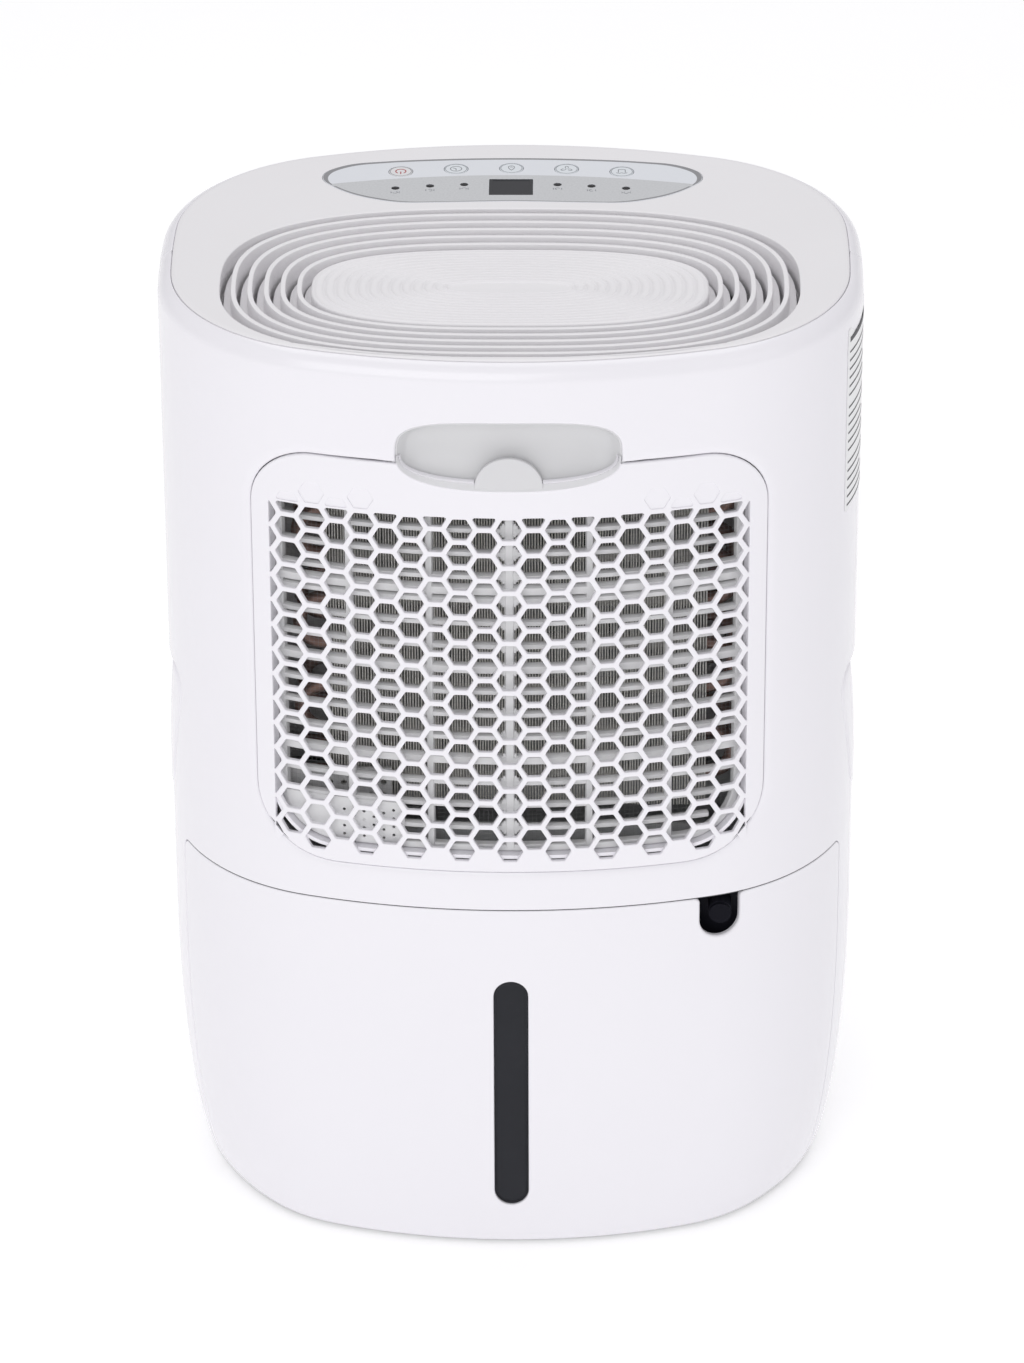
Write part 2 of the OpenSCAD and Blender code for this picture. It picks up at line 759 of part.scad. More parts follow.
/* Drain */
drip_x = 60;
drip_y = -70;
spout_z = 184.2;
spout_r = 5.6;
plug_r = 4;
module drain_outlet() {
  color(dark) difference() {
    union() {
      block([notch_x - 11, -100, 163.5], [notch_x + 11, -88, 197]);
      bar_y(notch_x, spout_z, -111.5, -99, spout_r);
      translate([notch_x, -94, 196]) cylinder(h = tray_z - 196, r = 5.5);
    }
    bar_y(notch_x, spout_z, -113, -92, plug_r);
  }
}
module drain_plug() {
  color("#1d1e24") {
    bar_y(notch_x, spout_z, -112, -96, plug_r - 0.05);
    bar_y(notch_x, spout_z, -113.5, -111.9, plug_r + 1.4);
  }
}

/* Tank bay, switch and machine base */
bay_t = 2;
module bay_wall() {
  color(grey) {
    difference() {
      union() {
        block([-148, bucket_back_y + 4, 8.2], [148, bucket_back_y + 4 + bay_t, tank_top + 6]);
        translate([0, 0, tank_top + 3]) linear_extrude(bay_t) intersection() {
          polygon(outline(wall + 0.3));
          translate([-148, -120]) square([296, 120 + bucket_back_y + 5]);
        }
      }
      translate([drip_x, drip_y, tank_top]) cylinder(h = 10, r = 7.5);
      block([notch_x - 11.3, -100.3, tank_top], [notch_x + 11.3, -87.7, tank_top + 10]);
      block([switch_x - 4, -40, switch_z - 16], [switch_x + 4, -30, switch_z + 3]);
    }
  }
}

switch_x = -100;
switch_z = 120;
lever_y = -28;
module level_switch() {
  color(dark) difference() {
    union() {
      block([switch_x - 9, bucket_back_y + 4 + bay_t, switch_z + 4], [switch_x + 9, -18, switch_z + 18]);
      for (side = [-1, 1])
        block([switch_x + side * 5.5 - 1, -31, switch_z - 4], [switch_x + side * 5.5 + 1, -25, switch_z + 5]);
    }
    translate([switch_x - 10, lever_y, switch_z]) rotate([0, 90, 0]) cylinder(h = 20, r = 1.25);
  }
}
module switch_lever() {
  color(metal) {
    translate([switch_x - 6.5, lever_y, switch_z]) rotate([0, 90, 0]) cylinder(h = 13, r = 1.2);
    block([switch_x - 2.5, lever_y - 0.5, switch_z - 13], [switch_x + 2.5, lever_y + 0.5, switch_z - 0.5]);
    hull() {
      block([switch_x - 2.5, lever_y - 0.5, switch_z - 14], [switch_x + 2.5, lever_y + 0.5, switch_z - 12]);
      block([switch_x - 2.5, bucket_back_y + 0.6, switch_z - 14], [switch_x + 2.5, bucket_back_y + 1.2, switch_z - 13]);
    }
  }
}

pan_z = 4;
function pan_plan(inset) = [for (p = outline(0)) [p.x * (half_w - inset - 16) / half_w,
  p.y * (half_d - inset) / half_d]];
module base_pan() {
  color(grey) difference() {
    union() {
      translate([0, 0, pan_z]) linear_extrude(3) polygon(pan_plan(9));
      translate([0, 0, pan_z]) linear_extrude(14) difference() {
        intersection() {
          polygon(pan_plan(9));
          translate([-half_w, bucket_back_y + 7]) square([body_w, body_d]);
        }
        intersection() {
          polygon(pan_plan(11.5));
          translate([-half_w, bucket_back_y + 9.5]) square([body_w, body_d]);
        }
      }
    }
    for (i = [0 : 2]) translate(bolt_point(i)) cylinder(h = 20, r = 2.6);
  }
}
foot_x = 100;
foot_y = 78;
module rubber_feet() {
  color(dark) for (sx = [-1, 1], sy = [-1, 1]) translate([sx * foot_x, sy * foot_y, 0]) {
    cylinder(h = pan_z, r = 13);
  }
}

comp = [-76, 36];
lug_r = 60;
function bolt_point(i) = [comp.x + lug_r * cos(90 + 120 * i), comp.y + lug_r * sin(90 + 120 * i), pan_z - 1];
module compressor() {
  r = compressor_r;
  can = concat([[0, 24]], arc([r - 16, 40], 16, -90, 0, 5),
    arc([r - 22, compressor_top - 22], 22, 0, 90, 6), [[0, compressor_top]]);
  color("#34363b") difference() {
    union() {
      translate([comp.x, comp.y, 0]) rotate_extrude($fn = 64) polygon(can);
      for (i = [0 : 2]) translate([comp.x, comp.y, 0]) rotate([0, 0, 90 + 120 * i])
        block([30, -12, 20], [lug_r + 9.5, 12, 24.5]);
      translate([comp.x, comp.y, compressor_top - 2]) cylinder(h = 8, r = 17);
    }
    for (i = [0 : 2]) translate(bolt_point(i)) cylinder(h = 40, r = 6.6);
  }
}
module compressor_grommets() {
  color("#202124") for (i = [0 : 2]) translate([bolt_point(i).x, bolt_point(i).y, pan_z + 3]) difference() {
    union() {
      cylinder(h = 24, r = 6.5);
      cylinder(h = 12.8, r = 9);
      translate([0, 0, 17.8]) cylinder(h = 4, r = 9);
    }
    translate([0, 0, -1]) cylinder(h = 30, r = 3.1);
  }
}
module compressor_bolts() {
  color(metal) for (i = [0 : 2]) translate([bolt_point(i).x, bolt_point(i).y, pan_z]) {
    cylinder(h = 34, r = 2.5);
    translate([0, 0, 27.2]) cylinder(h = 1, r = 7);
    translate([0, 0, 28.2]) cylinder(h = 4, r = 5, $fn = 6);
  }
}

acc = [6, 36];
module accumulator() {
  can = concat([[0, 62]], arc([10, 72], 10, -90, 0, 4), arc([10, 162], 10, 0, 90, 4), [[0, 172]]);
  color("#34363b") translate([acc.x, acc.y, 0])
    rotate_extrude() polygon([for (p = can) [p.x + (p.x > 0 ? 8 : 0), p.y]]);
}

// Pipes: round numbers along each route, with rounded bends
pipe_r = 3.5;
coil_end_x = -fin_half - 12;
coil_top_z = fin_high - tube_pitch / 2;
coil_bottom_z = coil_low + tube_pitch / 2;
module discharge_pipe() {
  y = cond_y + fin_t / 2;
  color(copper) tube(bent([[comp.x, comp.y, compressor_top + 6], [comp.x, comp.y, 217],
    [-116, comp.y, 217], [-116, -22, 217], [-116, -22, coil_top_z], [-134, -22, coil_top_z],
    [-134, y, coil_top_z], [coil_end_x, y, coil_top_z]], 8), pipe_r);
}
module suction_pipe() {
  y = evap_y + fin_t / 2;
  color(copper) tube(bent([[acc.x, acc.y, 172], [acc.x, acc.y, 206], [acc.x, 8, 206], [-138, 8, 206],
    [-138, y, 206], [-138, y, coil_bottom_z], [coil_end_x, y, coil_bottom_z]], 8), pipe_r);
}
module filter_drier() {
  can = [[0, 80], [3, 80], [3, 84], [9, 92], [9, 128], [3, 136], [3, 140], [0, 140]];
  color(copper) translate([34, 96, 0]) rotate_extrude() polygon(can);
}
module capillary_tube() {
  turns = 5;
  coil = [for (i = [0 : 12 * turns]) [34 + 16 * cos(30 * i), 96 + 16 * sin(30 * i), 146 + 0.5 * i]];
  color(copper) tube(concat([[34, 96, 141.4], [40, 94, 143]], coil), 1.2, 6);
}

module electronics_box() {
  t = 2;
  color("#dcdcdc") difference() {
    block([62, 6, 24], [126, 82, 170]);
    block([62 + t, 6 + t, 24 + t], [126 - t, 82 - t, 170 - t]);
  }
  color("#2f6b45") block([66, 20, 30], [68, 74, 160]);
}
module run_capacitor() {
  color(soft_white) translate([94, 44, 170]) cylinder(h = 62, r = 17);
}
module humidity_sensor() {
  color(white) difference() {
    block([104, 60, 252], [124, 76, 282]);
    for (i = [0 : 4]) block([108, 74, 256 + i * 5], [120, 77, 258.5 + i * 5]);
  }
}

cord_z = 120;
cord_hole_r = 8;
// Places a shape on the flank, with its own Z pointing out of the body
module at_inlet() {
  angle = 25;
  translate([-(corner_c.x + corner_r * cos(angle)) * taper_x(cord_z), corner_r * sin(angle) - corner_c.y, cord_z])
    rotate([0, 0, 180 - angle]) rotate([0, 90, 0]) children();
}
module cord_inlet() {
  color(dark) at_inlet() difference() {
    union() {
      translate([0, 0, 0.4]) cylinder(h = 2, r = 11);
      translate([0, 0, -14]) cylinder(h = 16, r = cord_hole_r - 0.05);
    }
    translate([0, 0, -20]) cylinder(h = 30, r = 4);
  }
}

/* Tank */
module window_plan(grow) {
  r = window_w / 2 + grow;
  translate([0, window_low + window_w / 2]) circle(r = r);
  translate([0, window_high - window_w / 2]) circle(r = r);
  translate([-r, window_low + window_w / 2]) square([2 * r, window_high - window_low - window_w]);
}
module notch_plan() {
  r = notch_w / 2;
  translate([notch_x, notch_low + r]) circle(r = r);
  translate([notch_x - r, notch_low + r]) square([notch_w, tank_top]);
}
module tank_front() {
  edge = tank_edge_y - gap / 2;
  color(white) difference() {
    ring_stack([for (z = concat(lower_z, [tank_top])) let (y = edge / taper_y(z))
      section(concat(front_path(0, y), reverse(front_path(wall, y))), z)]);
    upright(-half_d - 1, -90) window_plan(0);
    upright(-half_d - 1, -60) notch_plan();
  }
}
function bucket_ring(inset) = let (path = front_path(wall + 0.4 + inset, tank_edge_y - 6), end = path[len(path) - 1])
  concat([[-end.x, bucket_back_y - inset]], path, [[end.x, bucket_back_y - inset]]);
module tank_bucket() {
  floor_z = 9;
  heights = [for (z = concat([floor_z], lower_z, [bucket_top])) if (z >= floor_z) z];
  inner = [for (z = heights) if (z > floor_z + 2.4) z];
  color("#eef3f6") ring_stack(concat(
    [for (z = heights) section(bucket_ring(0), z)],
    [for (z = reverse(inner)) section(bucket_ring(2.2), z)]));
}
module tank_lid() {
  z = bucket_top + 0.3;
  color(grey) difference() {
    union() {
      translate([0, 0, z]) linear_extrude(2) polygon(bucket_ring(0.4));
      translate([0, 0, z - 4]) linear_extrude(4.5) difference() {
        polygon(bucket_ring(2.8));
        polygon(bucket_ring(4.6));
      }
    }
    translate([drip_x, drip_y, z - 5]) cylinder(h = 10, r = 14);
    block([notch_x - 15, -130, z - 5], [notch_x + 15, -84, z + 5]);
  }
}
module water_window() {
  color(dark) {
    intersection() {
      front_band(0.5, wall, window_low - 4, window_high + 4);
      upright(-half_d - 1, -90) window_plan(-0.05);
    }
  }
}
rod = [-100, -74];
module float_rod() {
  color(white) translate([rod.x, rod.y, 12]) cylinder(h = bucket_top - 18, r = 2.5);
}
module tank_float() {
  color("#f4f4f4") difference() {
    block([rod.x - 16, rod.y - 12, 14], [rod.x + 16, rod.y + 12, 38]);
    translate([rod.x, rod.y, 10]) cylinder(h = 40, r = 2.8);
  }
}

intake_casing();
side_skirts();
user_casing();
top_plate();
louvre_grille();
outlet_duct();
control_overlay();
display_window();
led_lenses();
power_key();
timer_key();
humidity_key();
fan_key();
laundry_key();
control_board();
filter_door();
filter_frame();
filter_mesh();
pull_recess();
side_grips();
coil_shroud();
evaporator_fins();
evaporator_tubes();
condenser_fins();
condenser_tubes();
drip_tray();
drain_outlet();
drain_plug();
fan_scroll();
blower_wheel();
motor_shaft();
fan_motor();
motor_bracket();
base_pan();
rubber_feet();
compressor();
compressor_grommets();
compressor_bolts();
accumulator();
discharge_pipe();
suction_pipe();
capillary_tube();
filter_drier();
electronics_box();
run_capacitor();
humidity_sensor();
bay_wall();
level_switch();
switch_lever();
tank_front();
tank_bucket();
tank_lid();
water_window();
float_rod();
tank_float();
casing_screws();
rating_label();
cord_inlet();
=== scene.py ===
import json
import math
from math import atan2, cos, pi, sin, sqrt

import bpy
import numpy as np
from mathutils import Matrix, Vector
from mathutils.geometry import delaunay_2d_cdt


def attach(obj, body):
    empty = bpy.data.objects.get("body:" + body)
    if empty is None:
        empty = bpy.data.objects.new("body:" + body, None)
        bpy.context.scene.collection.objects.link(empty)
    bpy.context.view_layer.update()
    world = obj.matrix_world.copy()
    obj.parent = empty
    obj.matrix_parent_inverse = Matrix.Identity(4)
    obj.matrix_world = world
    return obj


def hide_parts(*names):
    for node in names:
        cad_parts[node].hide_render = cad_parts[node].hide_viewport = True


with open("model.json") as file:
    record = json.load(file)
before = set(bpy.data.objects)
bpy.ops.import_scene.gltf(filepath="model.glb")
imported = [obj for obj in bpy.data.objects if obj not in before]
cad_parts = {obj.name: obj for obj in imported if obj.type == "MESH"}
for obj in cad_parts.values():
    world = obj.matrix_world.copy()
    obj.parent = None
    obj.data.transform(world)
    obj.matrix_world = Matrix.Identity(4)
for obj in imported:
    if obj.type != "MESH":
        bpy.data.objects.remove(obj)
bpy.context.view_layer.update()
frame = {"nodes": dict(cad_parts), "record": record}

NODES = frame["nodes"]
MM = 0.001

# ---------------------------------------------------------------- camera
PITCH, YAW, ROLL = 0.5058, -0.012, -0.0043
LENS, SENSOR, CAMERA_AT = 174.03, 36, (0.03429, -2.88375, 1.84837)
aim = Vector((sin(YAW) * cos(PITCH), cos(YAW) * cos(PITCH), -sin(PITCH)))
level = aim.cross(Vector((0, 0, 1))).normalized()
rise = level.cross(aim)
right = level * cos(ROLL) + rise * sin(ROLL)
up = -level * sin(ROLL) + rise * cos(ROLL)
camera = bpy.data.objects.new("camera", bpy.data.cameras.new("camera"))
camera.data.lens = LENS
camera.data.sensor_width = SENSOR
placing = Matrix((right, up, -aim)).transposed().to_4x4()
placing.translation = Vector(CAMERA_AT)
camera.matrix_world = placing
bpy.context.collection.objects.link(camera)
bpy.context.scene.camera = camera

# ---------------------------------------------------------------- materials
MATERIALS = {}
ROUGH_SPREAD = 0.05


def material(name, colour, rough, second, mottle_scale, grain, grain_scale, grain_depth=0.00005, spread=0.5,
             metal=0.0, coat=0.0, wave=None, sheen=0.0, transmission=0.0, specular=0.5, glow=0.0):
    """A procedural finish: mottled colour, uneven roughness and a fine grain in the surface."""
    m = bpy.data.materials.new(name)
    m.use_nodes = True
    tree = m.node_tree
    nodes, links = tree.nodes, tree.links
    shader = nodes["Principled BSDF"]
    shader.inputs["Metallic"].default_value = metal
    shader.inputs["Coat Weight"].default_value = coat
    shader.inputs["Coat Roughness"].default_value = 0.12
    shader.inputs["Sheen Weight"].default_value = sheen
    shader.inputs["IOR"].default_value = 1.5
    shader.inputs["Transmission Weight"].default_value = transmission
    shader.inputs["Specular IOR Level"].default_value = specular
    shader.inputs["Emission Color"].default_value = (1, 1, 1, 1)
    shader.inputs["Emission Strength"].default_value = glow
    place = nodes.new("ShaderNodeTexCoord")

    def noise(scale, detail=3.0):
        n = nodes.new("ShaderNodeTexNoise")
        n.inputs["Scale"].default_value = scale
        n.inputs["Detail"].default_value = detail
        links.new(place.outputs["Object"], n.inputs["Vector"])
        return n.outputs["Fac"]

    ramp = nodes.new("ShaderNodeValToRGB")
    ramp.color_ramp.elements[0].position = 0.5 - spread / 2
    ramp.color_ramp.elements[1].position = 0.5 + spread / 2
    ramp.color_ramp.elements[0].color = (*second, 1)
    ramp.color_ramp.elements[1].color = (*colour, 1)
    links.new(noise(mottle_scale), ramp.inputs["Fac"])
    links.new(ramp.outputs["Color"], shader.inputs["Base Color"])
    span = nodes.new("ShaderNodeMapRange")
    span.inputs["To Min"].default_value = max(0.02, rough - ROUGH_SPREAD)
    span.inputs["To Max"].default_value = min(1.0, rough + ROUGH_SPREAD)
    links.new(noise(mottle_scale * 2.7), span.inputs["Value"])
    links.new(span.outputs["Result"], shader.inputs["Roughness"])
    height = noise(grain_scale, 2.0)
    if wave:
        w = nodes.new("ShaderNodeTexWave")
        w.bands_direction = wave[0]
        w.inputs["Scale"].default_value = wave[1]
        w.inputs["Distortion"].default_value = wave[2]
        links.new(place.outputs["Object"], w.inputs["Vector"])
        mix = nodes.new("ShaderNodeMath")
        mix.operation = "ADD"
        links.new(height, mix.inputs[0])
        links.new(w.outputs["Fac"], mix.inputs[1])
        height = mix.outputs["Value"]
    bump = nodes.new("ShaderNodeBump")
    bump.inputs["Strength"].default_value = grain
    bump.inputs["Distance"].default_value = grain_depth
    links.new(height, bump.inputs["Height"])
    links.new(bump.outputs["Normal"], shader.inputs["Normal"])
    MATERIALS[name] = m
    return m


# Name, colour, roughness, second colour, scale of the mottling, strength and scale of the grain, and the rest
FINISHES = [
    ("casing_white", (0.86, 0.846, 0.885), 0.24, (0.85, 0.836, 0.876), 9, 0.10, 420,
     dict(coat=0.25, grain_depth=0.00002)),
    ("top_white", (0.83, 0.818, 0.835), 0.42, (0.815, 0.804, 0.82), 14, 0.25, 3200,
     dict(grain_depth=0.00003)),
    ("film_light", (0.74, 0.76, 0.80), 0.3, (0.725, 0.745, 0.785), 60, 0.05, 2500, dict(coat=0.1)),
    ("film_grey", (0.60, 0.61, 0.625), 0.32, (0.52, 0.53, 0.545), 900, 0.08, 5000, dict(coat=0.1)),
    ("film_border", (0.26, 0.26, 0.275), 0.35, (0.24, 0.24, 0.25), 90, 0.05, 2500, {}),
    ("print_grey", (0.24, 0.25, 0.27), 0.4, (0.21, 0.22, 0.24), 300, 0.1, 2500, {}),
    ("print_red", (0.42, 0.05, 0.055), 0.4, (0.38, 0.04, 0.045), 300, 0.1, 2500, {}),
    ("smoked", (0.016, 0.017, 0.022), 0.16, (0.013, 0.014, 0.018), 30, 0.03, 600, dict(specular=0.22)),
    ("smoked_low", (0.009, 0.009, 0.012), 0.18, (0.008, 0.008, 0.010), 30, 0.03, 600, dict(specular=0.2)),
    # Dark grey of the door seat and the strip over the tank: painted shade in the seams
    ("seam_grey", (0.07, 0.07, 0.075), 0.6, (0.06, 0.06, 0.065), 40, 0.1, 2500, {}),
    ("print_dark", (0.05, 0.05, 0.055), 0.5, (0.04, 0.04, 0.045), 300, 0.1, 2500, {}),
    ("led", (0.012, 0.012, 0.015), 0.25, (0.009, 0.009, 0.011), 500, 0.1, 2500, dict(specular=0.2)),
    ("key_face", (0.73, 0.765, 0.80), 0.3, (0.715, 0.75, 0.785), 60, 0.06, 2500, dict(coat=0.1)),
    ("power_key_face", (0.74, 0.735, 0.75), 0.3, (0.725, 0.72, 0.735), 60, 0.06, 2500, dict(coat=0.1)),
    ("pcb", (0.03, 0.16, 0.07), 0.4, (0.02, 0.12, 0.05), 700, 0.1, 2500, dict(coat=0.3, wave=("X", 400, 3))),
    ("grey_plastic", (0.62, 0.63, 0.635), 0.42, (0.60, 0.61, 0.615), 16, 0.2, 3200, {}),
    # Darker copy of the casing white on the finger pull's lip and thumb tab: painted shade
    ("lip_grey", (0.69, 0.688, 0.702), 0.36, (0.675, 0.673, 0.687), 12, 0.12, 3000, {}),
    # Darker copy of the casing white in the finger pull's pocket: painted shade for the recess
    ("scoop_grey", (0.68, 0.68, 0.69), 0.36, (0.665, 0.665, 0.675), 12, 0.12, 3000, dict(coat=0.15)),
    ("filter_plastic", (0.74, 0.74, 0.745), 0.33, (0.71, 0.71, 0.715), 25, 0.12, 2600, {}),
    ("filter_net", (0.40, 0.40, 0.41), 0.7, (0.34, 0.34, 0.35), 500, 0.4, 6000, dict(sheen=0.2)),
    ("fin_dark", (0.88, 0.86, 0.80), 0.42, (0.66, 0.65, 0.62), 260, 0.3, 900, dict(metal=0.2, spread=0.7)),
    ("fin_bare", (0.50, 0.50, 0.51), 0.35, (0.40, 0.40, 0.41), 160, 0.2, 1500, dict(metal=0.85)),
    ("copper", (0.38, 0.24, 0.20), 0.42, (0.27, 0.18, 0.16), 90, 0.15, 900, dict(metal=0.6, spread=0.7)),
    ("black_plastic", (0.018, 0.018, 0.026), 0.5, (0.015, 0.015, 0.022), 40, 0.2, 2600, dict(specular=0.12)),
    ("steel", (0.52, 0.53, 0.55), 0.32, (0.42, 0.43, 0.45), 120, 0.25, 2500,
     dict(metal=1.0, wave=("Z", 500, 6))),
    ("painted_black", (0.018, 0.018, 0.021), 0.35, (0.026, 0.026, 0.030), 50, 0.3, 500, dict(coat=0.3)),
    ("painted_grey", (0.42, 0.43, 0.44), 0.4, (0.34, 0.35, 0.36), 60, 0.25, 500, dict(metal=0.4, spread=0.8)),
    ("rubber", (0.004, 0.004, 0.008), 0.7, (0.005, 0.005, 0.009), 90, 0.4, 1500, dict(specular=0.12)),
    ("bucket", (0.80, 0.84, 0.87), 0.28, (0.76, 0.81, 0.85), 12, 0.08, 600, dict(transmission=0.25)),
    ("foam", (0.86, 0.86, 0.85), 0.9, (0.76, 0.76, 0.75), 420, 0.9, 420, dict(grain_depth=0.0006)),
    ("label", (0.84, 0.84, 0.85), 0.35, (0.82, 0.82, 0.83), 30, 0.08, 2500, dict(coat=0.2)),
]
for *values, rest in FINISHES:
    material(*values, **rest)

# ---------------------------------------------------------------- plan of the body, in millimetres
HALF_W, HALF_D, HEIGHT = 170.0, 129.0, 490.0
FRONT_R, FLANK_R, CORNER_R = 348.0, 667.0, 97.0
RIM_R, WALL = 10.0, 2.6
TAPER_IN, TAPER_H, BASE_R, BASE_Z = 19.5, 147.0, 4.0, 2.2
RIM_Z = HEIGHT - RIM_R
front_c = np.array([0.0, FRONT_R - HALF_D])
flank_c = np.array([HALF_W - FLANK_R, 0.0])
apart = np.linalg.norm(front_c - flank_c)
plan_dir = (front_c - flank_c) / apart
plan_along = ((FLANK_R - CORNER_R) ** 2 - (FRONT_R - CORNER_R) ** 2 + apart ** 2) / (2 * apart)
plan_across = sqrt((FLANK_R - CORNER_R) ** 2 - plan_along ** 2)
corner_c = flank_c + plan_along * plan_dir + plan_across * np.array([plan_dir[1], -plan_dir[0]])
FRONT_END = atan2(corner_c[1] - front_c[1], corner_c[0] - front_c[0])
FLANK_END = atan2(corner_c[1], corner_c[0] - flank_c[0])
S_FRONT = FRONT_R * (FRONT_END + pi / 2)
S_CORNER = S_FRONT + CORNER_R * (FLANK_END - FRONT_END)
S_END = S_CORNER - FLANK_R * FLANK_END
CORNER_IN, CORNER_H, CORNER_MID = 3.0, 80.0, (S_FRONT + S_CORNER) / 2


def plan(s, inset):
    """Outline of the body at arc length s from the middle of the intake side."""
    a = np.abs(s)
    t = [-pi / 2 + a / FRONT_R, FRONT_END + (a - S_FRONT) / CORNER_R, FLANK_END + (a - S_CORNER) / FLANK_R]
    where = [a < S_FRONT, a < S_CORNER]
    x = np.select(where, [(FRONT_R - inset) * np.cos(t[0]), corner_c[0] + (CORNER_R - inset) * np.cos(t[1])],
                  flank_c[0] + (FLANK_R - inset) * np.cos(t[2]))
    y = np.select(where, [front_c[1] + (FRONT_R - inset) * np.sin(t[0]),
                          corner_c[1] + (CORNER_R - inset) * np.sin(t[1])], (FLANK_R - inset) * np.sin(t[2]))
    return np.where(s < 0, -x, x), y


def s_of_x(x):
    """Arc length at which the intake side has this X."""
    a = np.abs(x)
    front = FRONT_R * np.arcsin(np.clip(a / FRONT_R, 0, 1))
    corner = S_FRONT + CORNER_R * (-np.arccos(np.clip((a - corner_c[0]) / CORNER_R, -1, 1)) - FRONT_END)
    return np.sign(x) * np.where(front < S_FRONT, front, corner)


def s_of_y(y):
    """Arc length at which the +X corner or flank has this Y."""
    y = np.asarray(y, float)
    edge = corner_c[1] + CORNER_R * sin(FLANK_END)
    corner = S_FRONT + CORNER_R * (np.arcsin(np.clip((y - corner_c[1]) / CORNER_R, -1, 1)) - FRONT_END)
    flank = S_CORNER + FLANK_R * (np.arcsin(np.clip(y / FLANK_R, -1, 1)) - FLANK_END)
    return np.where(y < edge, corner, flank)


def ease(z, top):
    return 1 - np.sqrt(1 - ((top - np.clip(z, 0, top)) / top) ** 2)


def taper_x(z):
    return 1 - (TAPER_IN * ease(z, TAPER_H) + BASE_R * ease(z, BASE_R)) / HALF_W


def taper_y(z):
    return 1 - BASE_R * ease(z, BASE_R) / HALF_D


def shell(s, v, d):
    """Point of the casing: s along the outline, v up the side and round the rim, d deep into the wall."""
    turn = np.maximum(v - RIM_Z, 0) / RIM_R
    z = np.minimum(v, RIM_Z) + (RIM_R - d) * np.sin(turn)
    low_corner = CORNER_IN * ease(z, CORNER_H) * np.exp(-((np.abs(s) - CORNER_MID) / 38.0) ** 2)
    x, y = plan(s, d + (RIM_R - d) * (1 - np.cos(turn)) + low_corner)
    return np.stack([x * taper_x(z), y * taper_y(z), z], axis=-1)


def shell_user(s, v, d):
    return shell(s, v, d) * np.array([-1, -1, 1])


def flat(z):
    return lambda x, y, d: np.stack([x, y, z - d + 0 * x], axis=-1)


def sunk(place, depth):
    return lambda u, v, d: place(u, v, d + depth)


# ---------------------------------------------------------------- flat outlines
def fillet(before, p, after, r):
    """Centre of the round between two edges that meet at p, and its two ends seen from the centre."""
    u, v = before - p, after - p
    u, v = u / np.linalg.norm(u), v / np.linalg.norm(v)
    half = math.acos(np.clip(u @ v, -1, 1)) / 2
    centre = p + (u + v) / np.linalg.norm(u + v) * r / sin(half)
    return centre, p + u * r / math.tan(half) - centre, p + v * r / math.tan(half) - centre


def rounded(points, radii, n=7):
    """A polygon with each corner rounded to its radius."""
    points = np.array(points, float)
    out = []
    for i, (p, r) in enumerate(zip(points, radii)):
        if r == 0:
            out.append(p)
            continue
        centre, a, b = fillet(points[i - 1], p, points[(i + 1) % len(points)], r)
        turn = atan2(a[0] * b[1] - a[1] * b[0], a @ b)
        for k in range(n + 1):
            t = turn * k / n
            out.append(centre + np.array([a[0] * cos(t) - a[1] * sin(t), a[0] * sin(t) + a[1] * cos(t)]))
    return np.array(out)


def circle(x, y, r, n=24):
    t = np.arange(n) * 2 * pi / n
    return np.stack([x + r * np.cos(t), y + r * np.sin(t)], axis=1)


def oval(hx, low, high, e_low, e_high, n):
    t = np.arange(n) * 2 * pi / n
    c, s = np.cos(t), np.sin(t)
    e = np.where(s < 0, e_low, e_high)
    return np.stack([hx * np.sign(c) * np.abs(c) ** (2 / e),
                     np.where(s < 0, low, high) * np.sign(s) * np.abs(s) ** (2 / e)], axis=1)


def split_long(loop, step):
    """The closed loop with its long edges divided."""
    out = []
    for p, q in zip(loop, np.roll(loop, -1, axis=0)):
        n = max(1, int(math.ceil(np.linalg.norm(q - p) / step)))
        out += [p + (q - p) * k / n for k in range(n)]
    return np.array(out)


def miter(loop):
    """Outward direction at each point of a counter-clockwise loop, long enough to offset its edges evenly."""
    e = np.roll(loop, -1, axis=0) - loop
    e = e / np.linalg.norm(e, axis=1)[:, None]
    n = np.stack([e[:, 1], -e[:, 0]], axis=1)
    before = np.roll(n, 1, axis=0)
    return (n + before) / np.maximum(0.35, 1 + (n * before).sum(axis=1))[:, None]


def grow(loop, by):
    return loop + miter(loop) * by


def in_loops(points, loops):
    x, y = points[:, 0], points[:, 1]
    inside = np.zeros(len(points), bool)
    for loop in loops:
        for (x0, y0), (x1, y1) in zip(loop, np.roll(loop, -1, axis=0)):
            if y0 != y1:
                inside ^= ((y0 > y) != (y1 > y)) & (x < (x1 - x0) * (y - y0) / (y1 - y0) + x0)
    return inside


def near_loops(points, loops, reach):
    near = np.zeros(len(points), bool)
    for loop in loops:
        low, high = loop.min(axis=0) - reach, loop.max(axis=0) + reach
        pick = np.where(((points > low) & (points < high)).all(axis=1) & ~near)[0]
        if not len(pick):
            continue
        p = points[pick]
        hit = np.zeros(len(p), bool)
        for a, b in zip(loop, np.roll(loop, -1, axis=0)):
            d = b - a
            t = np.clip((p - a) @ d / max(1e-9, d @ d), 0, 1)
            hit |= ((p - a - t[:, None] * d) ** 2).sum(axis=1) < reach ** 2
        near[pick[hit]] = True
    return near


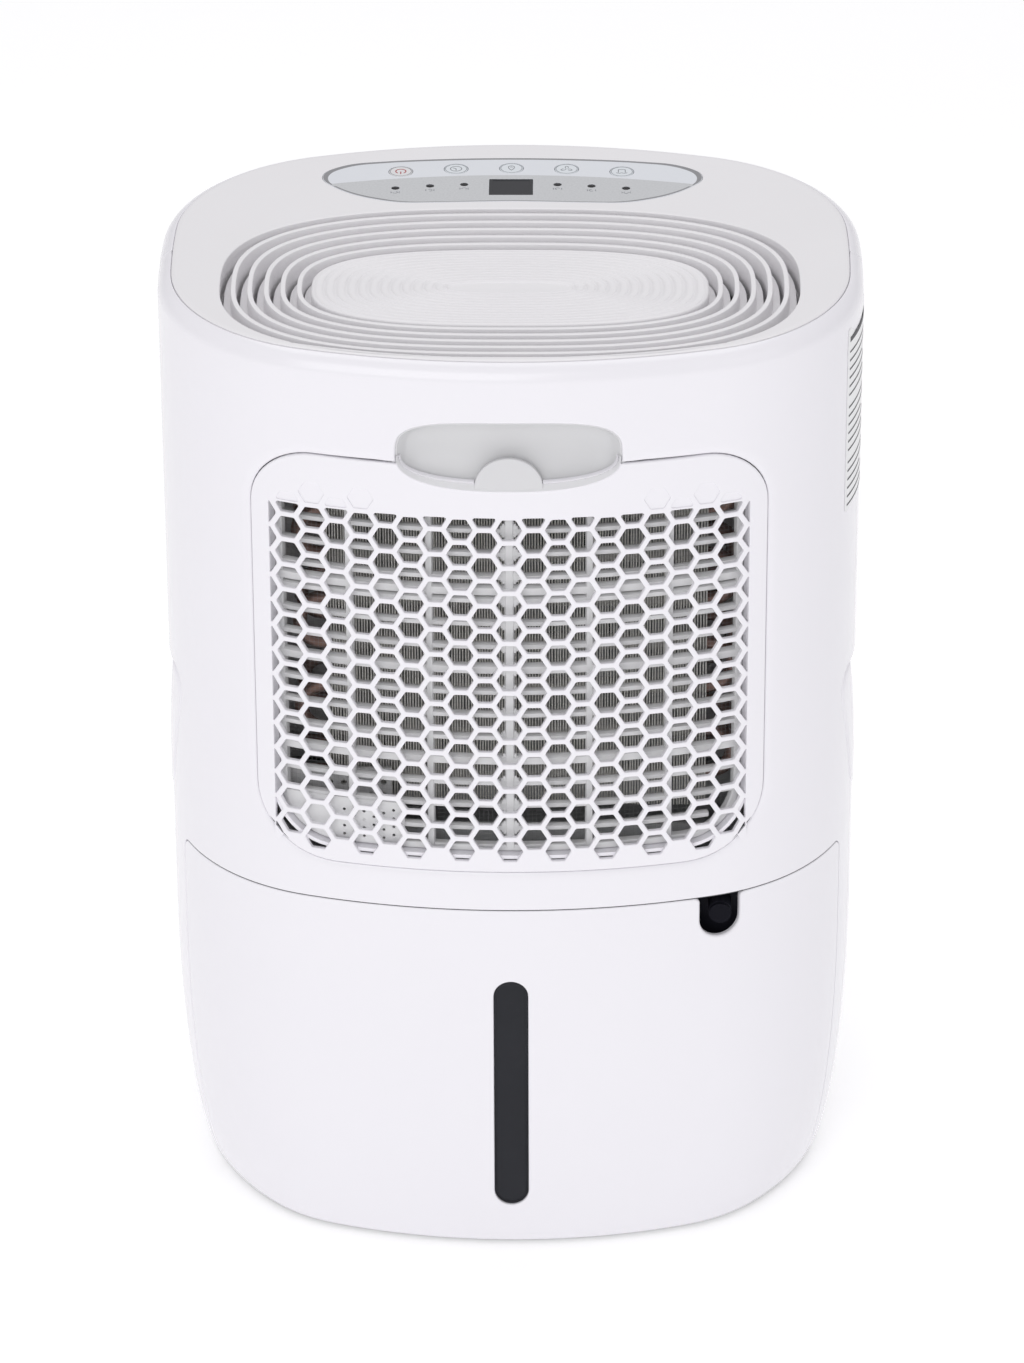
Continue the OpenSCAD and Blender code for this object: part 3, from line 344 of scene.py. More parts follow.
def triangles(loops, extra):
    """Triangles between the loops, as indices into the loops' points and then the extra ones."""
    points, edges = [], []
    for loop in loops:
        start = len(points)
        points += list(loop)
        edges += [(start + i, start + (i + 1) % len(loop)) for i in range(len(loop))]
    points += list(extra)
    out = delaunay_2d_cdt([Vector(p) for p in points], edges, [], 0, 1e-5)
    flat_points = np.array([v[:] for v in out[0]])
    faces = np.array([f for f in out[2] if len(f) == 3])
    middle = flat_points[faces].mean(axis=1)
    faces = faces[in_loops(middle, loops)]
    origin = [o[0] if o else -1 for o in out[3]]
    result = []
    for f in faces:
        a, b, c = flat_points[f]
        if (b[0] - a[0]) * (c[1] - a[1]) - (b[1] - a[1]) * (c[0] - a[0]) < 0:
            f = f[::-1]
        t = [origin[i] for i in f]
        if min(t) >= 0:
            result.append(t)
    return result


# ---------------------------------------------------------------- meshes
def add_object(name, verts, faces, mat, body, node=None, normals=None, smooth=True, mats=(),
               which=None):
    mesh = bpy.data.meshes.new(name)
    mesh.from_pydata((np.asarray(verts) * MM).tolist(), [], faces)
    mesh.materials.append(MATERIALS[mat])
    for extra in mats:
        mesh.materials.append(MATERIALS[extra])
    mesh.polygons.foreach_set("use_smooth", [smooth] * len(mesh.polygons))
    if which is not None:
        mesh.polygons.foreach_set("material_index", which)
    mesh.update()
    if normals is not None:
        mesh.normals_split_custom_set(normals)
    elif smooth:
        mesh.set_sharp_from_angle(angle=math.radians(38))
    obj = bpy.data.objects.new(name, mesh)
    bpy.context.collection.objects.link(obj)
    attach(obj, body)
    if node:
        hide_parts(node)
    return obj


def with_third(points, value):
    """Flat points with the same third coordinate."""
    return np.column_stack([points, np.full(len(points), value)])


def edge(loop, width=0.5, drop=None, steps=3, floor=None):
    """A loop with its rounded edge; floor closes a hole at that depth, which makes it a pocket."""
    return {"loop": np.asarray(loop, float), "width": width, "drop": width if drop is None else drop,
            "steps": steps, "floor": floor}


def panel(name, place, outer, holes, thick, mat, body, node=None, grid=(), keep=1.5, paint=None,
          mats=(), lines=()):
    """A plate on a curved surface, with rounded edges, holes and pockets, and true normals."""
    loops = [dict(outer, into=-1.0)] + [dict(h, into=1.0) for h in holes]
    step = 0.02
    verts, faces, corner = [], [], []
    count = 0

    def add(uvd):
        nonlocal count
        verts.append(place(uvd[:, 0], uvd[:, 1], uvd[:, 2]))
        start = count
        count += len(uvd)
        return start

    def frame_at(uvd):
        u, v, d = uvd[:, 0], uvd[:, 1], uvd[:, 2]
        pu = place(u + step, v, d) - place(u - step, v, d)
        pv = place(u, v + step, d) - place(u, v - step, d)
        n = np.cross(pu, pv)
        return pu, pv, n / np.linalg.norm(n, axis=1)[:, None]

    first, last_rings, strips = [], [], []
    for item in loops:
        loop, into = item["loop"], item["into"]
        m = miter(loop)
        width = np.broadcast_to(item["width"], (len(loop),)).astype(float)
        drop = np.broadcast_to(item["drop"], (len(loop),)).astype(float)
        rings, slopes = [], []
        for k in range(item["steps"] + 1):
            a = pi / 2 * k / item["steps"]
            uv = loop + m * (into * width * (1 - sin(a)))[:, None]
            rings.append(np.column_stack([uv, drop * (1 - cos(a))]))
            slopes.append(np.arctan2(drop * sin(a), width * cos(a)))
        deep = thick if item["floor"] is None else item["floor"]
        rings.append(with_third(loop, deep))
        slopes.append(np.full(len(loop), pi / 2))
        first.append(rings[0][:, :2])
        strips.append((rings, slopes, -into * m, into, item["floor"]))
        if item["floor"] is None:
            last_rings.append(loop)

    extra = np.zeros((0, 2))
    if len(grid):
        u, v = np.meshgrid(grid[0], grid[1])
        extra = np.column_stack([u.ravel(), v.ravel()])
        extra = extra[in_loops(extra, first)]
        extra = extra[~near_loops(extra, first, keep)]
    for line in lines:
        inner = line[in_loops(line, first)]
        inner = inner[~near_loops(inner, first, 0.2)]
        extra = np.vstack([extra[~near_loops(extra, [line], 0.8)] if len(extra) else extra, inner])
    front_uvd = with_third(np.vstack(first + [extra]), 0.0)
    base = add(front_uvd)
    front_n = frame_at(front_uvd)[2]
    which = []
    for t in triangles(first, extra):
        faces.append([base + i for i in t])
        corner += [front_n[i] for i in t]
        if paint:
            which.append(paint(front_uvd[t].mean(axis=0)[:2]))
    start = base
    back_start = []
    for rings, slopes, w, into, floor in strips:
        n = len(w)
        ids, normals = [], []
        for k, (ring, slope) in enumerate(zip(rings, slopes)):
            ids.append(start if k == 0 else add(ring))
            pu, pv, nn = frame_at(ring)
            side = pu * w[:, :1] + pv * w[:, 1:]
            side -= nn * (side * nn).sum(axis=1)[:, None]
            side /= np.linalg.norm(side, axis=1)[:, None]
            both = nn * np.cos(slope)[:, None] + side * np.sin(slope)[:, None]
            normals.append(both)
        start += n
        for k in range(len(rings) - 1):
            for i in range(n):
                j = (i + 1) % n
                quad = [(k, i), (k + 1, i), (k + 1, j), (k, j)]
                if into > 0:
                    quad = quad[::-1]
                faces.append([ids[a] + b for a, b in quad])
                corner += [normals[a][b] for a, b in quad]
        if floor is None:
            back_start.append(ids[-1])
        else:
            faces.append([ids[-1] + i for i in range(n)])
            nn = frame_at(rings[-1])[2]
            corner += [nn[i] for i in range(n)]
    where = np.concatenate([np.arange(len(loop)) + s for s, loop in zip(back_start, last_rings)])
    sparse = extra[~near_loops(extra, first, keep)] if len(extra) else extra
    back_uvd = with_third(np.vstack(last_rings + [sparse]), thick)
    more = add(back_uvd[len(where):]) if len(sparse) else count
    back_n = -frame_at(back_uvd)[2]
    for t in triangles(last_rings, sparse):
        t = t[::-1]
        faces.append([int(where[i]) if i < len(where) else more + i - len(where) for i in t])
        corner += [back_n[i] for i in t]
    if paint:
        which += [0] * (len(faces) - len(which))
    return add_object(name, np.vstack(verts), faces, mat, body, node, normals=corner,
                      mats=mats, which=which if paint else None)


def skin(rings, base=0, closed=False, cap_first=True):
    """Faces that join rings of points numbered from base; closed joins the last ring to the first."""
    n, m = len(rings), len(rings[0])
    faces = []
    for j in range(n if closed else n - 1):
        k = (j + 1) % n
        for i in range(m):
            h = (i + 1) % m
            faces.append([base + a for a in (j * m + i, j * m + h, k * m + h, k * m + i)])
    if not closed:
        faces.append([base + (n - 1) * m + i for i in range(m)])
        if cap_first:
            faces.append([base + i for i in range(m)][::-1])
    return faces


def loft(name, rings, mat, body, node=None, closed=False, cap_first=True):
    return add_object(name, np.vstack(rings), skin(rings, 0, closed, cap_first), mat, body, node)


TUBE_SIDES, BEND_STEPS = 14, 8


def path_tube(name, points, bend, r, mat, body, node):
    """Round tube through the points, with bends of one radius."""
    points = np.array(points, float)
    pts = []
    for i, p in enumerate(points):
        if i in (0, len(points) - 1):
            pts.append(p)
            continue
        centre, a, b = fillet(points[i - 1], p, points[i + 1], bend)
        sweep = math.acos(np.clip(a @ b / bend ** 2, -1, 1))
        for t in np.arange(BEND_STEPS + 1) / BEND_STEPS:
            pts.append(centre + (sin(sweep * (1 - t)) * a + sin(sweep * t) * b) / sin(sweep))
    pts = np.array(pts)
    along = np.gradient(pts, axis=0)
    along /= np.linalg.norm(along, axis=1)[:, None]
    side = np.cross(along, [0.31, 0.52, 0.79])
    side /= np.linalg.norm(side, axis=1)[:, None]
    other = np.cross(along, side)
    t = np.arange(TUBE_SIDES) * 2 * pi / TUBE_SIDES
    rings = [p + r * (np.outer(np.cos(t), a) + np.outer(np.sin(t), b)) for p, a, b in zip(pts, side, other)]
    loft(name, rings, mat, body, node)


def bars(name, boxes, mat, body, node=None, smooth=False):
    """Many bars in one mesh; each is a list of rings of section points."""
    verts, faces = [], []
    for rings in boxes:
        faces += skin(rings, len(verts))
        for ring in rings:
            verts += list(ring)
    add_object(name, verts, faces, mat, body, node, smooth=smooth)


def block_rings(low, high):
    (x0, y0, z0), (x1, y1, z1) = low, high
    return [[(x0, y0, z), (x1, y0, z), (x1, y1, z), (x0, y1, z)] for z in (z0, z1)]


def at_arc(s, z, d):
    """Points of the casing at one arc length, for a section's heights and depths."""
    return shell(np.full(len(z), s), z, d)


def at_x(x, z, d):
    """The same at one X of the intake side."""
    return at_arc(s_of_x(np.array([x]))[0], z, d)


def thicken(obj):
    solid = obj.modifiers.new("thickness", "SOLIDIFY")
    solid.thickness = POCKET_WALL
    solid.offset = -1


# ---------------------------------------------------------------- shells
GAP = 0.4
POCKET_WALL = 1.4 * MM
FLANK_EDGE = -(corner_c[1] + CORNER_R * sin(FLANK_END))
DOOR_HALF, DOOR_LOW, DOOR_HIGH = 123.2, 216.2, 437.5
PULL_HALF, PULL_Z, PULL_DOWN, PULL_UP = 53.5, 441.0, 16.8, 19.0
PULL_POWER, PULL_POWER_TOP = 2.6, 3.5
GRIP_LOW, GRIP_HIGH, GRIP_HALF_LOW, GRIP_HALF_HIGH = 212.0, 288.0, 36.0, 63.0
TANK_TOP, TANK_EDGE_Y = 194.5, -57.0
SEAM_SHARE = 0.63
SEAM_V = RIM_Z + RIM_R * math.acos(1 - SEAM_SHARE)


def on_front(loop):
    """A loop drawn in X and Z, laid along the intake side."""
    loop = np.asarray(loop, float)
    return np.column_stack([s_of_x(loop[:, 0] / taper_x(loop[:, 1])), loop[:, 1]])


def door_loop(by, n=12):
    x, z0, z1 = DOOR_HALF + by, DOOR_LOW - by, DOOR_HIGH + by
    return rounded([(-x, z0), (x, z0), (x, z1), (-x, z1)], [38 + by, 38 + by, 30 + by, 30 + by], n)


def pull_loop(by, n=120):
    outline = oval(PULL_HALF + by, PULL_DOWN + by, PULL_UP + by, PULL_POWER, PULL_POWER_TOP, n)
    return outline + np.array([0, PULL_Z])


grid_s = np.concatenate([np.arange(0, S_FRONT, 7.0), np.arange(S_FRONT, S_CORNER, 4.0),
                         [S_CORNER + 8, S_CORNER + 16]])
grid_s = np.concatenate([-grid_s[:0:-1], grid_s])
grid_v = np.concatenate([[3.0, 3.8, 5, 6.5, 8.3, 10.3, 12.5], np.arange(16, 150, 5.0),
                         np.arange(150, RIM_Z - 6, 12.0), [RIM_Z - 3, RIM_Z], RIM_Z + np.arange(1, 12) * 1.0])
GRID = (grid_s, grid_v)
S_SPLIT = S_END - 0.15
TANK_S = float(s_of_y(TANK_EDGE_Y + GAP / 2))
grip_corner_low = float(s_of_y(-GRIP_HALF_LOW))
grip_corner_high = float(s_of_y(-GRIP_HALF_HIGH))


def dense(loop, step=6.0):
    return split_long(np.asarray(loop, float), step)


def half_outline(tank_cut):
    """Edge of one casing half: split line, grips, seam on the rim and, on one half, the tank's opening."""
    side = [(S_SPLIT, BASE_Z), (S_SPLIT, GRIP_LOW), (grip_corner_low, GRIP_LOW),
            (grip_corner_high, GRIP_HIGH), (S_SPLIT, GRIP_HIGH), (S_SPLIT, SEAM_V)]
    side_r = [0, 0, 14, 12, 0, 0]
    low, low_r = [], []
    if tank_cut:
        low = [(-TANK_S, BASE_Z), (-TANK_S, TANK_TOP + GAP), (TANK_S, TANK_TOP + GAP), (TANK_S, BASE_Z)]
        low_r = [0, 6.4, 6.4, 0]
    mirror = [(-u, v) for u, v in side[::-1]]
    return dense(rounded(low + side + mirror, low_r + side_r + side_r[::-1]))


def from_top_right(loop, top):
    """The door outline, turned to start after the right end of its top edge."""
    end = int(np.where((np.abs(loop[:, 1] - top) < 1e-6) & (loop[:, 0] > 0))[0][0])
    return np.roll(loop, -(end + 1), axis=0)


# The door's opening and the finger pull's opening run into each other
pull_open = pull_loop(0)
cross_z = DOOR_HIGH + GAP
upper = pull_open[pull_open[:, 1] > cross_z]
upper = upper[np.argsort(np.arctan2(upper[:, 1] - cross_z, upper[:, 0]))]
cut = split_long(np.vstack([upper, from_top_right(door_loop(GAP, 14), cross_z)]), 5.0)
is_pull = (cut[:, 1] > cross_z + 0.5) & (np.abs(cut[:, 0]) < PULL_HALF + 1)
near_pull = (np.abs(cut[:, 0]) < PULL_HALF + 8) & (cut[:, 1] > 400)
width = np.where(is_pull, 1.3, np.where(near_pull, 1.6, 5.5))
drop = np.where(is_pull, 1.1, np.where(near_pull, 0.9, 1.3))
casing = panel("intake_casing_shell", shell, edge(half_outline(True), 0.5),
               [edge(on_front(cut), width, drop, 6)], WALL, "casing_white", "housing", "intake_casing",
               GRID)
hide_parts("side_skirts")

INLET_S = S_FRONT + CORNER_R * (-math.radians(25) - FRONT_END)
INLET_Z, INLET_R = 120.0, 8.0
panel("user_casing_shell", shell_user, edge(half_outline(False), 0.5),
      [edge(circle(INLET_S, INLET_Z, INLET_R, 40), 0.6)], WALL, "casing_white", "housing", "user_casing",
      GRID)


def open_top(loop, gap_half):
    """The part of a door outline outside the finger pull, from its right end round to its left end."""
    loop = split_long(loop, 2.0)
    keep_points = ~((loop[:, 1] > PULL_Z - 14) & (np.abs(loop[:, 0]) < gap_half))
    first_kept = int(np.where(keep_points & ~np.roll(keep_points, 1))[0][0])
    return np.roll(loop, -first_kept, axis=0)[:int(keep_points.sum())]


# Flange behind the door seam, open where the finger pull is; its dark grey is painted shade that darkens the
# gap of the seam
seat = np.vstack([open_top(door_loop(6), PULL_HALF + 3), open_top(door_loop(-4), PULL_HALF + 3)[::-1]])
panel("door_seat", sunk(shell, WALL + 0.1), edge(on_front(seat), 0.2), [], 1.6, "seam_grey", "housing", None,
      GRID)

# ---------------------------------------------------------------- tank front, window and drain notch
WINDOW_HALF, WINDOW_LOW, WINDOW_HIGH, WATER_Z = 8.5, 23.5, 153.8, 71.0
NOTCH_X, NOTCH_R, NOTCH_LOW = 102.5, 9.75, 171.6


def slot_loop(by):
    r = WINDOW_HALF + by
    low, high = WINDOW_LOW + WINDOW_HALF, WINDOW_HIGH - WINDOW_HALF
    t = np.linspace(0, pi, 16)
    top = np.column_stack([r * np.cos(t), high + r * np.sin(t)])
    bottom = np.column_stack([-r * np.cos(t), low - r * np.sin(t)])
    return np.vstack([top, bottom])


side_z = np.concatenate([[BASE_Z, 3, 4, 5, 6.5, 8, 10, 12], np.arange(20, 186, 8.0)])
side_s = s_of_y((TANK_EDGE_Y - GAP / 2) / taper_y(side_z))
tank_s = float(s_of_y(TANK_EDGE_Y - GAP / 2))
top_corner = rounded([(tank_s, 150.0), (tank_s, TANK_TOP), (0.0, TANK_TOP)], [0, 6, 0])[1:-1]
notch = rounded([(NOTCH_X + 30, TANK_TOP), (NOTCH_X + NOTCH_R, TANK_TOP), (NOTCH_X + NOTCH_R, NOTCH_LOW),
                 (NOTCH_X - NOTCH_R, NOTCH_LOW), (NOTCH_X - NOTCH_R, TANK_TOP), (NOTCH_X - 30, TANK_TOP)],
                [0, 3.2, NOTCH_R - 0.05, NOTCH_R - 0.05, 3.2, 0], 10)[1:-1]
right_side = np.column_stack([side_s, side_z])
tank_loop = dense(np.vstack([right_side, top_corner, on_front(notch), (top_corner * [-1, 1])[::-1],
                             (right_side * [-1, 1])[::-1]]))
in_notch = (np.abs(tank_loop[:, 0] - s_of_x(np.array([NOTCH_X]))[0]) < 14) & (tank_loop[:, 1] > 170)
tank_width = np.where(in_notch, 1.3, 0.7)
panel("tank_front_shell", shell, edge(tank_loop, tank_width, tank_width, 4),
      [edge(on_front(slot_loop(0)), 0.7, 0.9, 4)], WALL, "casing_white", "tank", "tank_front",
      GRID)
window_grid = (np.arange(-9, 10, 1.5), np.arange(25, 156, 8.0))
panel("water_window_lens", sunk(shell, 0.9), edge(on_front(slot_loop(-0.12)), 0.5), [
    edge(on_front(slot_loop(-1.5)), 0.25, 0.12, 2, floor=0.3)], 1.6, "smoked", "tank", "water_window",
    window_grid, keep=0.3, paint=lambda p: 1 if p[1] < WATER_Z else 0, mats=("smoked_low",))

# Dark strip in the joint over the tank: painted shade standing in for the shadow under the casing's lower
# edge
SHADE_STRIP_OUT, SHADE_STRIP_IN, SHADE_STRIP_PLAY = 0.3, 2.4, 0.02
shade_strip_z = TANK_TOP + np.array([SHADE_STRIP_PLAY, SHADE_STRIP_PLAY, GAP - SHADE_STRIP_PLAY, GAP - SHADE_STRIP_PLAY])
shade_strip_d = np.array([SHADE_STRIP_OUT, SHADE_STRIP_IN, SHADE_STRIP_IN, SHADE_STRIP_OUT])
shade_strip = [at_arc(s, shade_strip_z, shade_strip_d) for s in np.linspace(-TANK_S, TANK_S, 121)]
loft("tank_seam_shade_strip", shade_strip, "seam_grey", "housing", None)

# ---------------------------------------------------------------- intake door
HEX_PITCH, HEX_FLAT, HEX_TOP, HEX_ROUND = 13.525, 10.9, 403.6, 0.9
LEAST_AREA, LEAST_SIDE = 3.5, 0.3
COL_PITCH = HEX_PITCH * sqrt(3) / 2
GRILLE_X, GRILLE_TOP = 114.5, 410.0


def clip(loop, axis, limit, sign_):
    """Part of a convex loop on one side of a line."""
    out = []
    for p, q in zip(loop, loop[1:] + loop[:1]):
        a, b = sign_ * (limit - p[axis]), sign_ * (limit - q[axis])
        if a >= 0:
            out.append(p)
        if (a > 0) != (b > 0) and a != b:
            t = a / (a - b)
            out.append([p[0] + (q[0] - p[0]) * t, p[1] + (q[1] - p[1]) * t])
    return out


def hexagon(x, z):
    r = HEX_FLAT / sqrt(3)
    return [[x + r * cos(pi / 3 * k), z + r * sin(pi / 3 * k)] for k in range(6)]


def soft_corners(loop):
    """A hexagon or a cut part of one with small rounds; nothing if it is too small for a hole."""
    loop = np.array(loop)
    keep_points = np.linalg.norm(loop - np.roll(loop, 1, axis=0), axis=1) > 0.05
    loop = loop[keep_points]
    if len(loop) < 3:
        return None
    following = np.roll(loop, -1, axis=0)
    sides = np.linalg.norm(following - loop, axis=1)
    area = 0.5 * abs(np.dot(loop[:, 0], following[:, 1]) - np.dot(loop[:, 1], following[:, 0]))
    if area < LEAST_AREA:
        return None
    if sides.min() < LEAST_SIDE:
        return loop
    return rounded(loop, [min(HEX_ROUND, 0.24 * min(sides[i], sides[i - 1])) for i in range(len(loop))], 2)


def blank(loop):
    """A hexagon that stays closed: a shallow pocket."""
    return edge(on_front(loop), 0.4, 0.25, 3, floor=0.5)


holes = []
for col in range(-10, 11):
    odd = abs(col) % 2
    for row in range(-1 if odd else 0, 13 if odd else 14):
        h = hexagon(col * COL_PITCH, HEX_TOP - (row + odd / 2) * HEX_PITCH)
        h = clip(clip(clip(h, 1, GRILLE_TOP, 1), 0, GRILLE_X, 1), 0, -GRILLE_X, -1)
        h = soft_corners(h) if len(h) > 2 else None
        if h is not None:
            holes.append(edge(on_front(h), 0.55, 0.5, 3))
# Blank hexagons in the upper corners
for col in (-8, -6, 6, 8):
    holes.append(blank(rounded(hexagon(col * COL_PITCH, HEX_TOP + HEX_PITCH), [HEX_ROUND] * 6, 2)))
for col in (-9, -7, 7, 9):
    half_hex = clip(hexagon(col * COL_PITCH, HEX_TOP + HEX_PITCH / 2), 1, GRILLE_TOP + 1.2, -1)
    holes.append(blank(soft_corners(half_hex)))

lower = pull_loop(-0.6)
lower = lower[lower[:, 1] < DOOR_HIGH]
lower = lower[np.argsort(-lower[:, 0])]
door_edge = split_long(np.vstack([lower, from_top_right(door_loop(0), DOOR_HIGH)]), 5.0)
panel("filter_door_plate", sunk(shell, 0.1), edge(on_front(door_edge), 0.9, 0.9, 4), holes, 2.0,
      "casing_white", "intake_door", "filter_door",
      (np.arange(-126, 127, 6.0), np.arange(218, 437, 8.0)), keep=2.0)


def door_rim(by, top, width):
    """Edge that follows the door's outline and is cut off level at the top."""
    return edge(on_front(dense(clip(door_loop(by).tolist(), 1, top, 1))), width)


panel("door_flange", sunk(shell, 2.0), door_rim(-6.6, 421.8, 0.2), [door_rim(-8.6, 419.8, 0.2)], 6.8,
      "casing_white", "intake_door", None)

# Lip of the finger pull: a band that slopes in along the lower half of the opening, and a crest inside it.
# The band is a darker copy of the casing white: painted shade on its up-facing slope
LIP_N, LIP_POWER, LIP_EDGE_END = 96, 2 / PULL_POWER, 0.12
LIP_BAND = [(0.0, 2.4), (0.0, 0.5), (0.02, 0.16), (0.06, -0.05), (0.11, 0.0), (0.2, 0.22), (0.4, 0.75),
            (0.6, 1.25), (0.74, 1.5), (0.74, 3.0), (0.2, 2.8)]
LIP_EDGE = [(-0.06, 1.0), (-0.06, 0.05), (-0.03, -0.2), (0.02, -0.3), (0.07, -0.2), (0.1, 0.05), (0.1, 1.0)]
LIP_CREST = [(0.70, 2.6), (0.72, 1.2), (0.76, 0.6), (0.82, 0.25), (0.88, 0.0), (0.94, 0.35), (0.99, 1.0),
             (1.0, 2.6)]


def lip_line(a, share):
    """Point of the lip at one angle: share 0 is its outer edge and 1 its inner edge."""
    c, s = cos(a), abs(sin(a)) ** LIP_POWER
    half = PULL_HALF - 0.45 - 1.95 * share
    return half * np.sign(c) * abs(c) ** LIP_POWER, PULL_Z - (PULL_DOWN + 0.1 - 5.1 * share) * s


def lip_part(name, section, a0, a1, n, mat):
    rings = []
    for a in np.linspace(a0, a1, n):
        points = np.array([lip_line(a, share) for share, _ in section])
        rings.append(shell(s_of_x(points[:, 0]), points[:, 1], np.array([d for _, d in section])))
    loft(name, rings, mat, "intake_door", None)


TAB_R, TAB_Z = 16.3, 426.0
tab_angle = math.acos((TAB_R / (PULL_HALF - 2.2)) ** (PULL_POWER / 2))
lip_part("pull_lip", LIP_BAND, pi, 2 * pi, LIP_N, "lip_grey")
lip_part("pull_lip_edge", LIP_EDGE, pi + LIP_EDGE_END, 2 * pi - LIP_EDGE_END, LIP_N, "casing_white")
lip_part("pull_crest_left", LIP_CREST, pi, pi + tab_angle, LIP_N // 2, "casing_white")
lip_part("pull_crest_right", LIP_CREST, 2 * pi - tab_angle, 2 * pi, LIP_N // 2, "casing_white")

# Half-round thumb tab that stands on the band and leans back, in the band's darker copy of the white: painted
# shade
t = np.linspace(0.0, pi, 33)
tab = np.column_stack([TAB_R * np.cos(t), TAB_Z + (TAB_R - 1.4) * np.sin(t)])
foot_x = np.linspace(-TAB_R + 0.3, TAB_R - 0.3, 13)
foot_s = (1 - (np.abs(foot_x) / PULL_HALF) ** PULL_POWER) ** (1 / PULL_POWER)
tab = np.vstack([tab, np.column_stack([foot_x, PULL_Z - (PULL_DOWN - 0.9) * foot_s])])


def leaning(u, v, d):
    return shell(u, v, d + 0.1 + 0.12 * np.maximum(v - TAB_Z + 1.0, 0))


panel("thumb_tab", leaning, edge(on_front(tab), 0.6, 0.6, 3), [], 1.4, "lip_grey", "intake_door", None,
      (np.arange(-15, 16, 3.0), np.arange(427, 441, 3.0)))

# Finger pull: a pocket whose back wall leans away from the lip. Its grey is a darker copy of the casing
# white: painted shade for the recess
SCOOP_LOW, SCOOP_DEEP, SCOOP_N, SCOOP_STEPS = 2.4, 7.5, 96, 24
bowl = []
for k in range(SCOOP_STEPS + 1):
    share = 1 - k / SCOOP_STEPS
    ring = (pull_loop(0, SCOOP_N) - [0, PULL_Z]) * max(share, 0.03) + [0, PULL_Z]
    climb = np.clip((ring[:, 1] - PULL_Z + PULL_DOWN) / (PULL_DOWN + PULL_UP - 6), 0, 1)
    deep = WALL + 0.15 + (SCOOP_LOW + SCOOP_DEEP * np.sin(climb * pi / 2)) * sqrt(1 - share ** 9)
    bowl.append(shell(s_of_x(ring[:, 0]), ring[:, 1], deep))
flange = pull_loop(2.0, SCOOP_N)
bowl.insert(0, shell(s_of_x(flange[:, 0]), flange[:, 1], np.full(SCOOP_N, WALL + 0.15)))
scoop = loft("pull_scoop", bowl, "scoop_grey", "housing", "pull_recess", cap_first=False)
scoop.data.flip_normals()
thicken(scoop)

# ---------------------------------------------------------------- filter behind the grille
FRAME_IN = 5.9
FRAME_ROW_Z, FRAME_ROWS, FRAME_ROW_PITCH = 237.9, 15, 12.5
FRAME_LOW, FRAME_HIGH, FRAME_HALF = 226.5, 419.0, 111.5
BAR = np.array([(-1.0, 0.3), (-0.7, 0.0), (0.7, 0.0), (1.0, 0.3), (1.0, 0.8), (0.7, 1.0), (-0.7, 1.0),
                (-1.0, 0.8)])


def level_bar(z, half_h, x0, x1, d0=FRAME_IN, deep=3.6):
    xs = np.linspace(x0, x1, max(4, int((x1 - x0) / 6)))
    return [at_x(x, z + half_h * BAR[:, 0], d0 + deep * BAR[:, 1]) for x in xs]


def upright_bar(x, half_w, d0=FRAME_IN - 0.4, deep=4.4):
    across, into = BAR[::-1].T
    s = s_of_x(x + half_w * across)
    return [shell(s, np.full(len(s), z), d0 + deep * into) for z in (FRAME_LOW, FRAME_HIGH)]


frame_parts = []
row_z = [FRAME_ROW_Z + r * FRAME_ROW_PITCH for r in range(FRAME_ROWS)]
for z in row_z:
    reach = 111.0 if 245 < z < 415 else 98.0
    frame_parts.append(level_bar(z, 1.5, -reach, reach))
for z in (275.4, 325.4, 368.0):
    frame_parts.append(level_bar(z, 2.6, -FRAME_HALF, FRAME_HALF, FRAME_IN - 0.3, 4.2))
for x in (-78.0, -39.0, 39.0, 78.0):
    frame_parts.append(upright_bar(x, 1.9))
frame_parts.append(upright_bar(0.0, 2.5))
# Gussets where the middle bar crosses the rows
for z in row_z:
    for half_x, half_z in ((4.2, 2.6), (3.3, 3.6)):
        frame_parts.append(level_bar(z, half_z, -half_x, half_x, FRAME_IN + 0.1, 2.0))
bars("filter_frame_bars", frame_parts, "filter_plastic", "intake_door", "filter_frame",
     smooth=True)
panel("filter_frame_border", sunk(shell, FRAME_IN), door_rim(-8.9, 419.4, 0.5),
      [door_rim(-12.4, 416.0, 0.8)], 3.8, "filter_plastic", "intake_door", None)

# Plate with small holes across the lower left corner of the frame
PLATE_X1, PLATE_Z0, PLATE_Z1 = -52.0, 226.0, 250.0
DOT_X, DOT_Z, DOT_STEP_X, DOT_STEP_Z, DOT_R = -82.0, 229.5, 4.9, 4.6, 0.75
plate_outline = dense(rounded([(-FRAME_HALF, PLATE_Z0), (PLATE_X1, PLATE_Z0), (PLATE_X1, PLATE_Z1),
                               (-FRAME_HALF, PLATE_Z1)], [25, 1, 1, 1], 10), 5.0)
dots = [edge(on_front(circle(DOT_X + DOT_STEP_X * i, DOT_Z + DOT_STEP_Z * j + 2.0 * (i % 2), DOT_R, 10)), 0.1,
             steps=1) for i in range(6) for j in range(4)]
panel("filter_corner_plate", sunk(shell, FRAME_IN - 0.6), edge(on_front(plate_outline), 0.3), dots, 0.6,
      "filter_plastic", "intake_door", None)

NET_D, NET_TOP, NET_STEP = 9.8, 417.5, 2.2
THREAD = np.array([(-0.03, 0.0), (0.03, 0.0), (0.03, 0.06), (-0.03, 0.06)])
threads = []
for x in np.arange(-110, 110.5, NET_STEP):
    lowest = 227.5 + max(0.0, abs(x) - 82) * 0.55
    s = s_of_x(np.array([x]))[0] + THREAD[::-1, 0]
    threads.append([shell(s, np.full(4, z), NET_D + THREAD[::-1, 1]) for z in (lowest, NET_TOP)])
for z in np.arange(228, NET_TOP, NET_STEP):
    reach = 110.5 if z > 246 else 96.0
    threads.append([at_x(x, z + THREAD[:, 0], NET_D + 0.05 + THREAD[:, 1])
                    for x in np.linspace(-reach, reach, 24)])
bars("filter_net_threads", threads, "filter_net", "intake_door", "filter_mesh")

